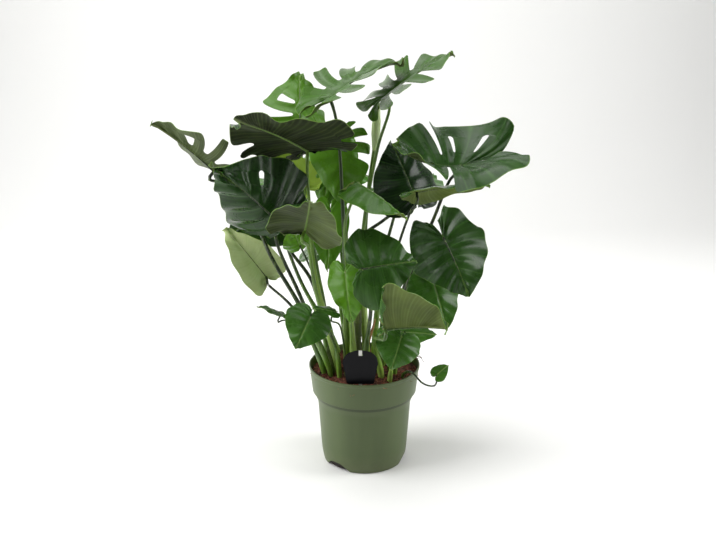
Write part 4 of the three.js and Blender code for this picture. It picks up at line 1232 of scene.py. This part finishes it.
def buildLoose():
    rule, steps = looseRule, looseRule["sheathPoints"]
    chains = []
    for points in rule["roots"]:
        path = smoothPath(points, rule["rootPoints"])
        share = np.linspace(0, 1, len(path))
        chains.append((path, rule["rootRadius"] * (1 - rule["rootTaper"] * share), share))
    finishPiece(growTubes(newObject("loose_roots"), chains, 0, 8, bark), "soil")
    points = []
    for k, centre in enumerate(smoothPath(rule["sheath"], steps)):
        share = k / steps
        turn = rule["sheathTwist"] * share
        half = 0.5 * rule["sheathWidth"] * math.sqrt(1 - share ** 3)
        for across in (-1, -0.5, 0, 0.5, 1):
            cup = 0.5 * half * across ** 2
            points.append(centre + (half * across * math.cos(turn) - cup * math.sin(turn),
                                    half * across * math.sin(turn) + cup * math.cos(turn), 0))
    faces = [(5 * i + k, 5 * i + k + 1, 5 * i + k + 6, 5 * i + k + 5) for i in range(steps) for k in range(4)]
    sheath = newObject("dried_sheath", newMesh("dried_sheath", np.array(points) * mm, faces))
    thicken(sheath, rule["sheathThickness"])
    sheath = flatten(sheath)
    dress(sheath, sheathMaterial())
    shade(sheath, rule["sharp"])
    finishPiece(sheath, "stem")


buildLoose()
print("soil")


# Bare label and the stake it hangs on
labelRule = {
    "place": (-10, -116, 246),
    "width": 82,
    "footWidth": 62,
    "crown": 10,
    "crownPull": 0.6,
    "height": 85,
    "thickness": 0.8,
    "corner": 4,
    "cornerCut": (1, 0.8),
    "shoulder": 34,
    "crownPoints": 24,
    "slot": (12, 14, 9),          # width, and how far under the top it begins and ends
    "tones": ("#040408", "#08080d", "#0e0f15"),
    "roughness": (0.42, 0.6),
    "smudgeScale": 60.0,
    "stakeTones": ("#c9c6b8", "#e9e8e2", "#f4f4f0"),
    "stainScale": 120.0,
}


# Satin black, a little smudged by hands
def cardMaterial():
    material, tree, shader, place = newMaterial("black polystyrene card", **{"Specular IOR Level": 0.2})
    smudge = addNode(tree, "ShaderNodeTexNoise", {
        "Vector": place, "Scale": labelRule["smudgeScale"], "Detail": 4.0})
    intoShader(tree, shader, toneRamp(tree, smudge, labelRule["tones"]))
    low, high = labelRule["roughness"]
    sheen = addNode(tree, "ShaderNodeMapRange", {"Value": smudge, "To Min": low, "To Max": high})
    tree.links.new(sheen.outputs[0], shader.inputs["Roughness"])
    return material


# White, with a touch of soil in its surface
def stakeMaterial():
    material, tree, shader, place = newMaterial("white polystyrene strip", **{"Roughness": 0.45, "IOR": 1.55})
    stains = addNode(tree, "ShaderNodeTexNoise", {"Vector": place, "Scale": labelRule["stainScale"], "Detail": 4.0})
    intoShader(tree, shader, toneRamp(tree, stains, labelRule["stakeTones"]))
    return material


# The right half of the card from its foot round the corner and up to the crown
def labelSide():
    rule = labelRule
    half, height, low, corner = rule["width"] / 2, rule["height"], rule["footWidth"] / 2, rule["corner"]
    pulls = [(half, height - rule["shoulder"]), (half, height - rule["crown"]),
             (half * rule["crownPull"], height), (0, height)]
    t = np.linspace(0, 1, rule["crownPoints"])[:, None]
    arc = sum(w * np.array(p) for w, p in zip(((1 - t) ** 3, 3 * t * (1 - t) ** 2, 3 * t * t * (1 - t), t ** 3), pulls))
    inset, rise = rule["cornerCut"]
    return [(low - corner, 0), (low - inset, rise), (low + inset, corner)] + [tuple(p) for p in arc]


def buildLabel():
    rule = labelRule
    right = labelSide()
    outline = right + [(-x, y) for x, y in right[-2::-1]]
    wide, under, over = rule["slot"]
    slot = [(wide * x, rule["height"] - y) for x, y in ((-0.5, under), (0.5, under), (0.5, over), (-0.5, over))]
    build = bmesh.new()
    edges = []
    for line in (outline, slot):
        loop = [build.verts.new((x, 0, y)) for x, y in line]
        edges += [build.edges.new((a, b)) for a, b in zip(loop, loop[1:] + loop[:1])]
    bmesh.ops.triangle_fill(build, use_beauty=True, use_dissolve=False, edges=edges)
    front = bmesh.ops.extrude_face_region(build, geom=build.faces[:])
    for vertex in front["geom"]:
        if isinstance(vertex, bmesh.types.BMVert):
            vertex.co.y -= rule["thickness"]
    bmesh.ops.recalc_face_normals(build, faces=build.faces)
    mesh = meshFrom(build, "label")
    for vertex in mesh.vertices:
        vertex.co = (vertex.co + Vector(rule["place"])) * mm
    card = newObject("label_card", mesh)
    dress(card, cardMaterial())
    finishPiece(card, "label", "tag")


buildLabel()
dress(bpy.data.objects["tag_stake"], stakeMaterial())
print("label")


studio = {
    "floor": "#f7f7f5",
    "world": 0.09,
    "floorSize": 9.0,
    "wallDistance": 3.2,
    "wallHeight": 6,
    "bend": 1.2,
    # place, what it points at, size and watts of each soft lamp
    "lamps": {
        "left": ((-2.2, -0.25, 1.3), (0, 0, 0.45), (2.0, 2.6), 72),
        "right": ((2.3, 0.0, 1.2), (0, 0, 0.45), (1.2, 2.0), 44),
        "top": ((-0.5, 0.2, 3.0), (-0.2, 0, 0.2), (2.6, 2.4), 60),
        "wall": ((-0.9, 1.2, 3.2), (-0.7, 3.4, 1.2), (3.0, 1.2), 28),
        "front floor": ((0.0, -1.7, 3.0), (0, -1.5, 0), (3.0, 0.8), 12),
    },
    "cameraPlace": (-0.0155, -2.5, 1.321),
    "cameraDown": 18.4,      # degrees
    "focal": 55.7,           # mm, on a sensor 36 mm wide
}


# A pale sweep: floor, round bend and wall in one sheet of matt paper
def buildSweep():
    half, back, bend = studio["floorSize"] / 2, studio["wallDistance"], studio["bend"]
    line = [(-half, 0), (back - bend, 0)]
    line += [(back - bend + bend * math.sin(a), bend - bend * math.cos(a)) for a in np.linspace(0.1, math.pi / 2, 12)]
    line += [(back, studio["wallHeight"])]
    points = [(x, y, z) for y, z in line for x in (-half, half)]
    faces = [(2 * i, 2 * i + 1, 2 * i + 3, 2 * i + 2) for i in range(len(line) - 1)]
    sweep = newObject("sweep", newMesh("sweep", points, faces))
    paper = newMaterial("matt paper sweep", **{"Base Color": linear(studio["floor"]), "Roughness": 0.7})
    dress(sweep, paper[0])
    shade(sweep)


def buildLight():
    world = bpy.data.worlds.new("studio air")
    bpy.context.scene.world = world
    world.use_nodes = True
    air = world.node_tree.nodes["Background"].inputs
    air["Color"].default_value = (1, 1, 1, 1)
    air["Strength"].default_value = studio["world"]
    for name, (place, target, size, watts) in studio["lamps"].items():
        lamp = bpy.data.lights.new(name, "AREA")
        lamp.shape = "RECTANGLE"
        lamp.size, lamp.size_y = size
        lamp.energy = watts
        light = newObject(name, lamp)
        light.location = place
        light.rotation_euler = (Vector(target) - Vector(place)).to_track_quat("-Z", "Y").to_euler()


def buildCamera():
    lens = bpy.data.cameras.new("camera")
    lens.sensor_width = 36
    lens.lens = studio["focal"]
    camera = newObject("camera", lens)
    camera.location = studio["cameraPlace"]
    camera.rotation_euler = (math.radians(90 - studio["cameraDown"]), 0, 0)
    bpy.context.scene.camera = camera
    bpy.context.scene.view_settings.view_transform = "Standard"


buildSweep()
buildLight()
buildCamera()
print("studio")
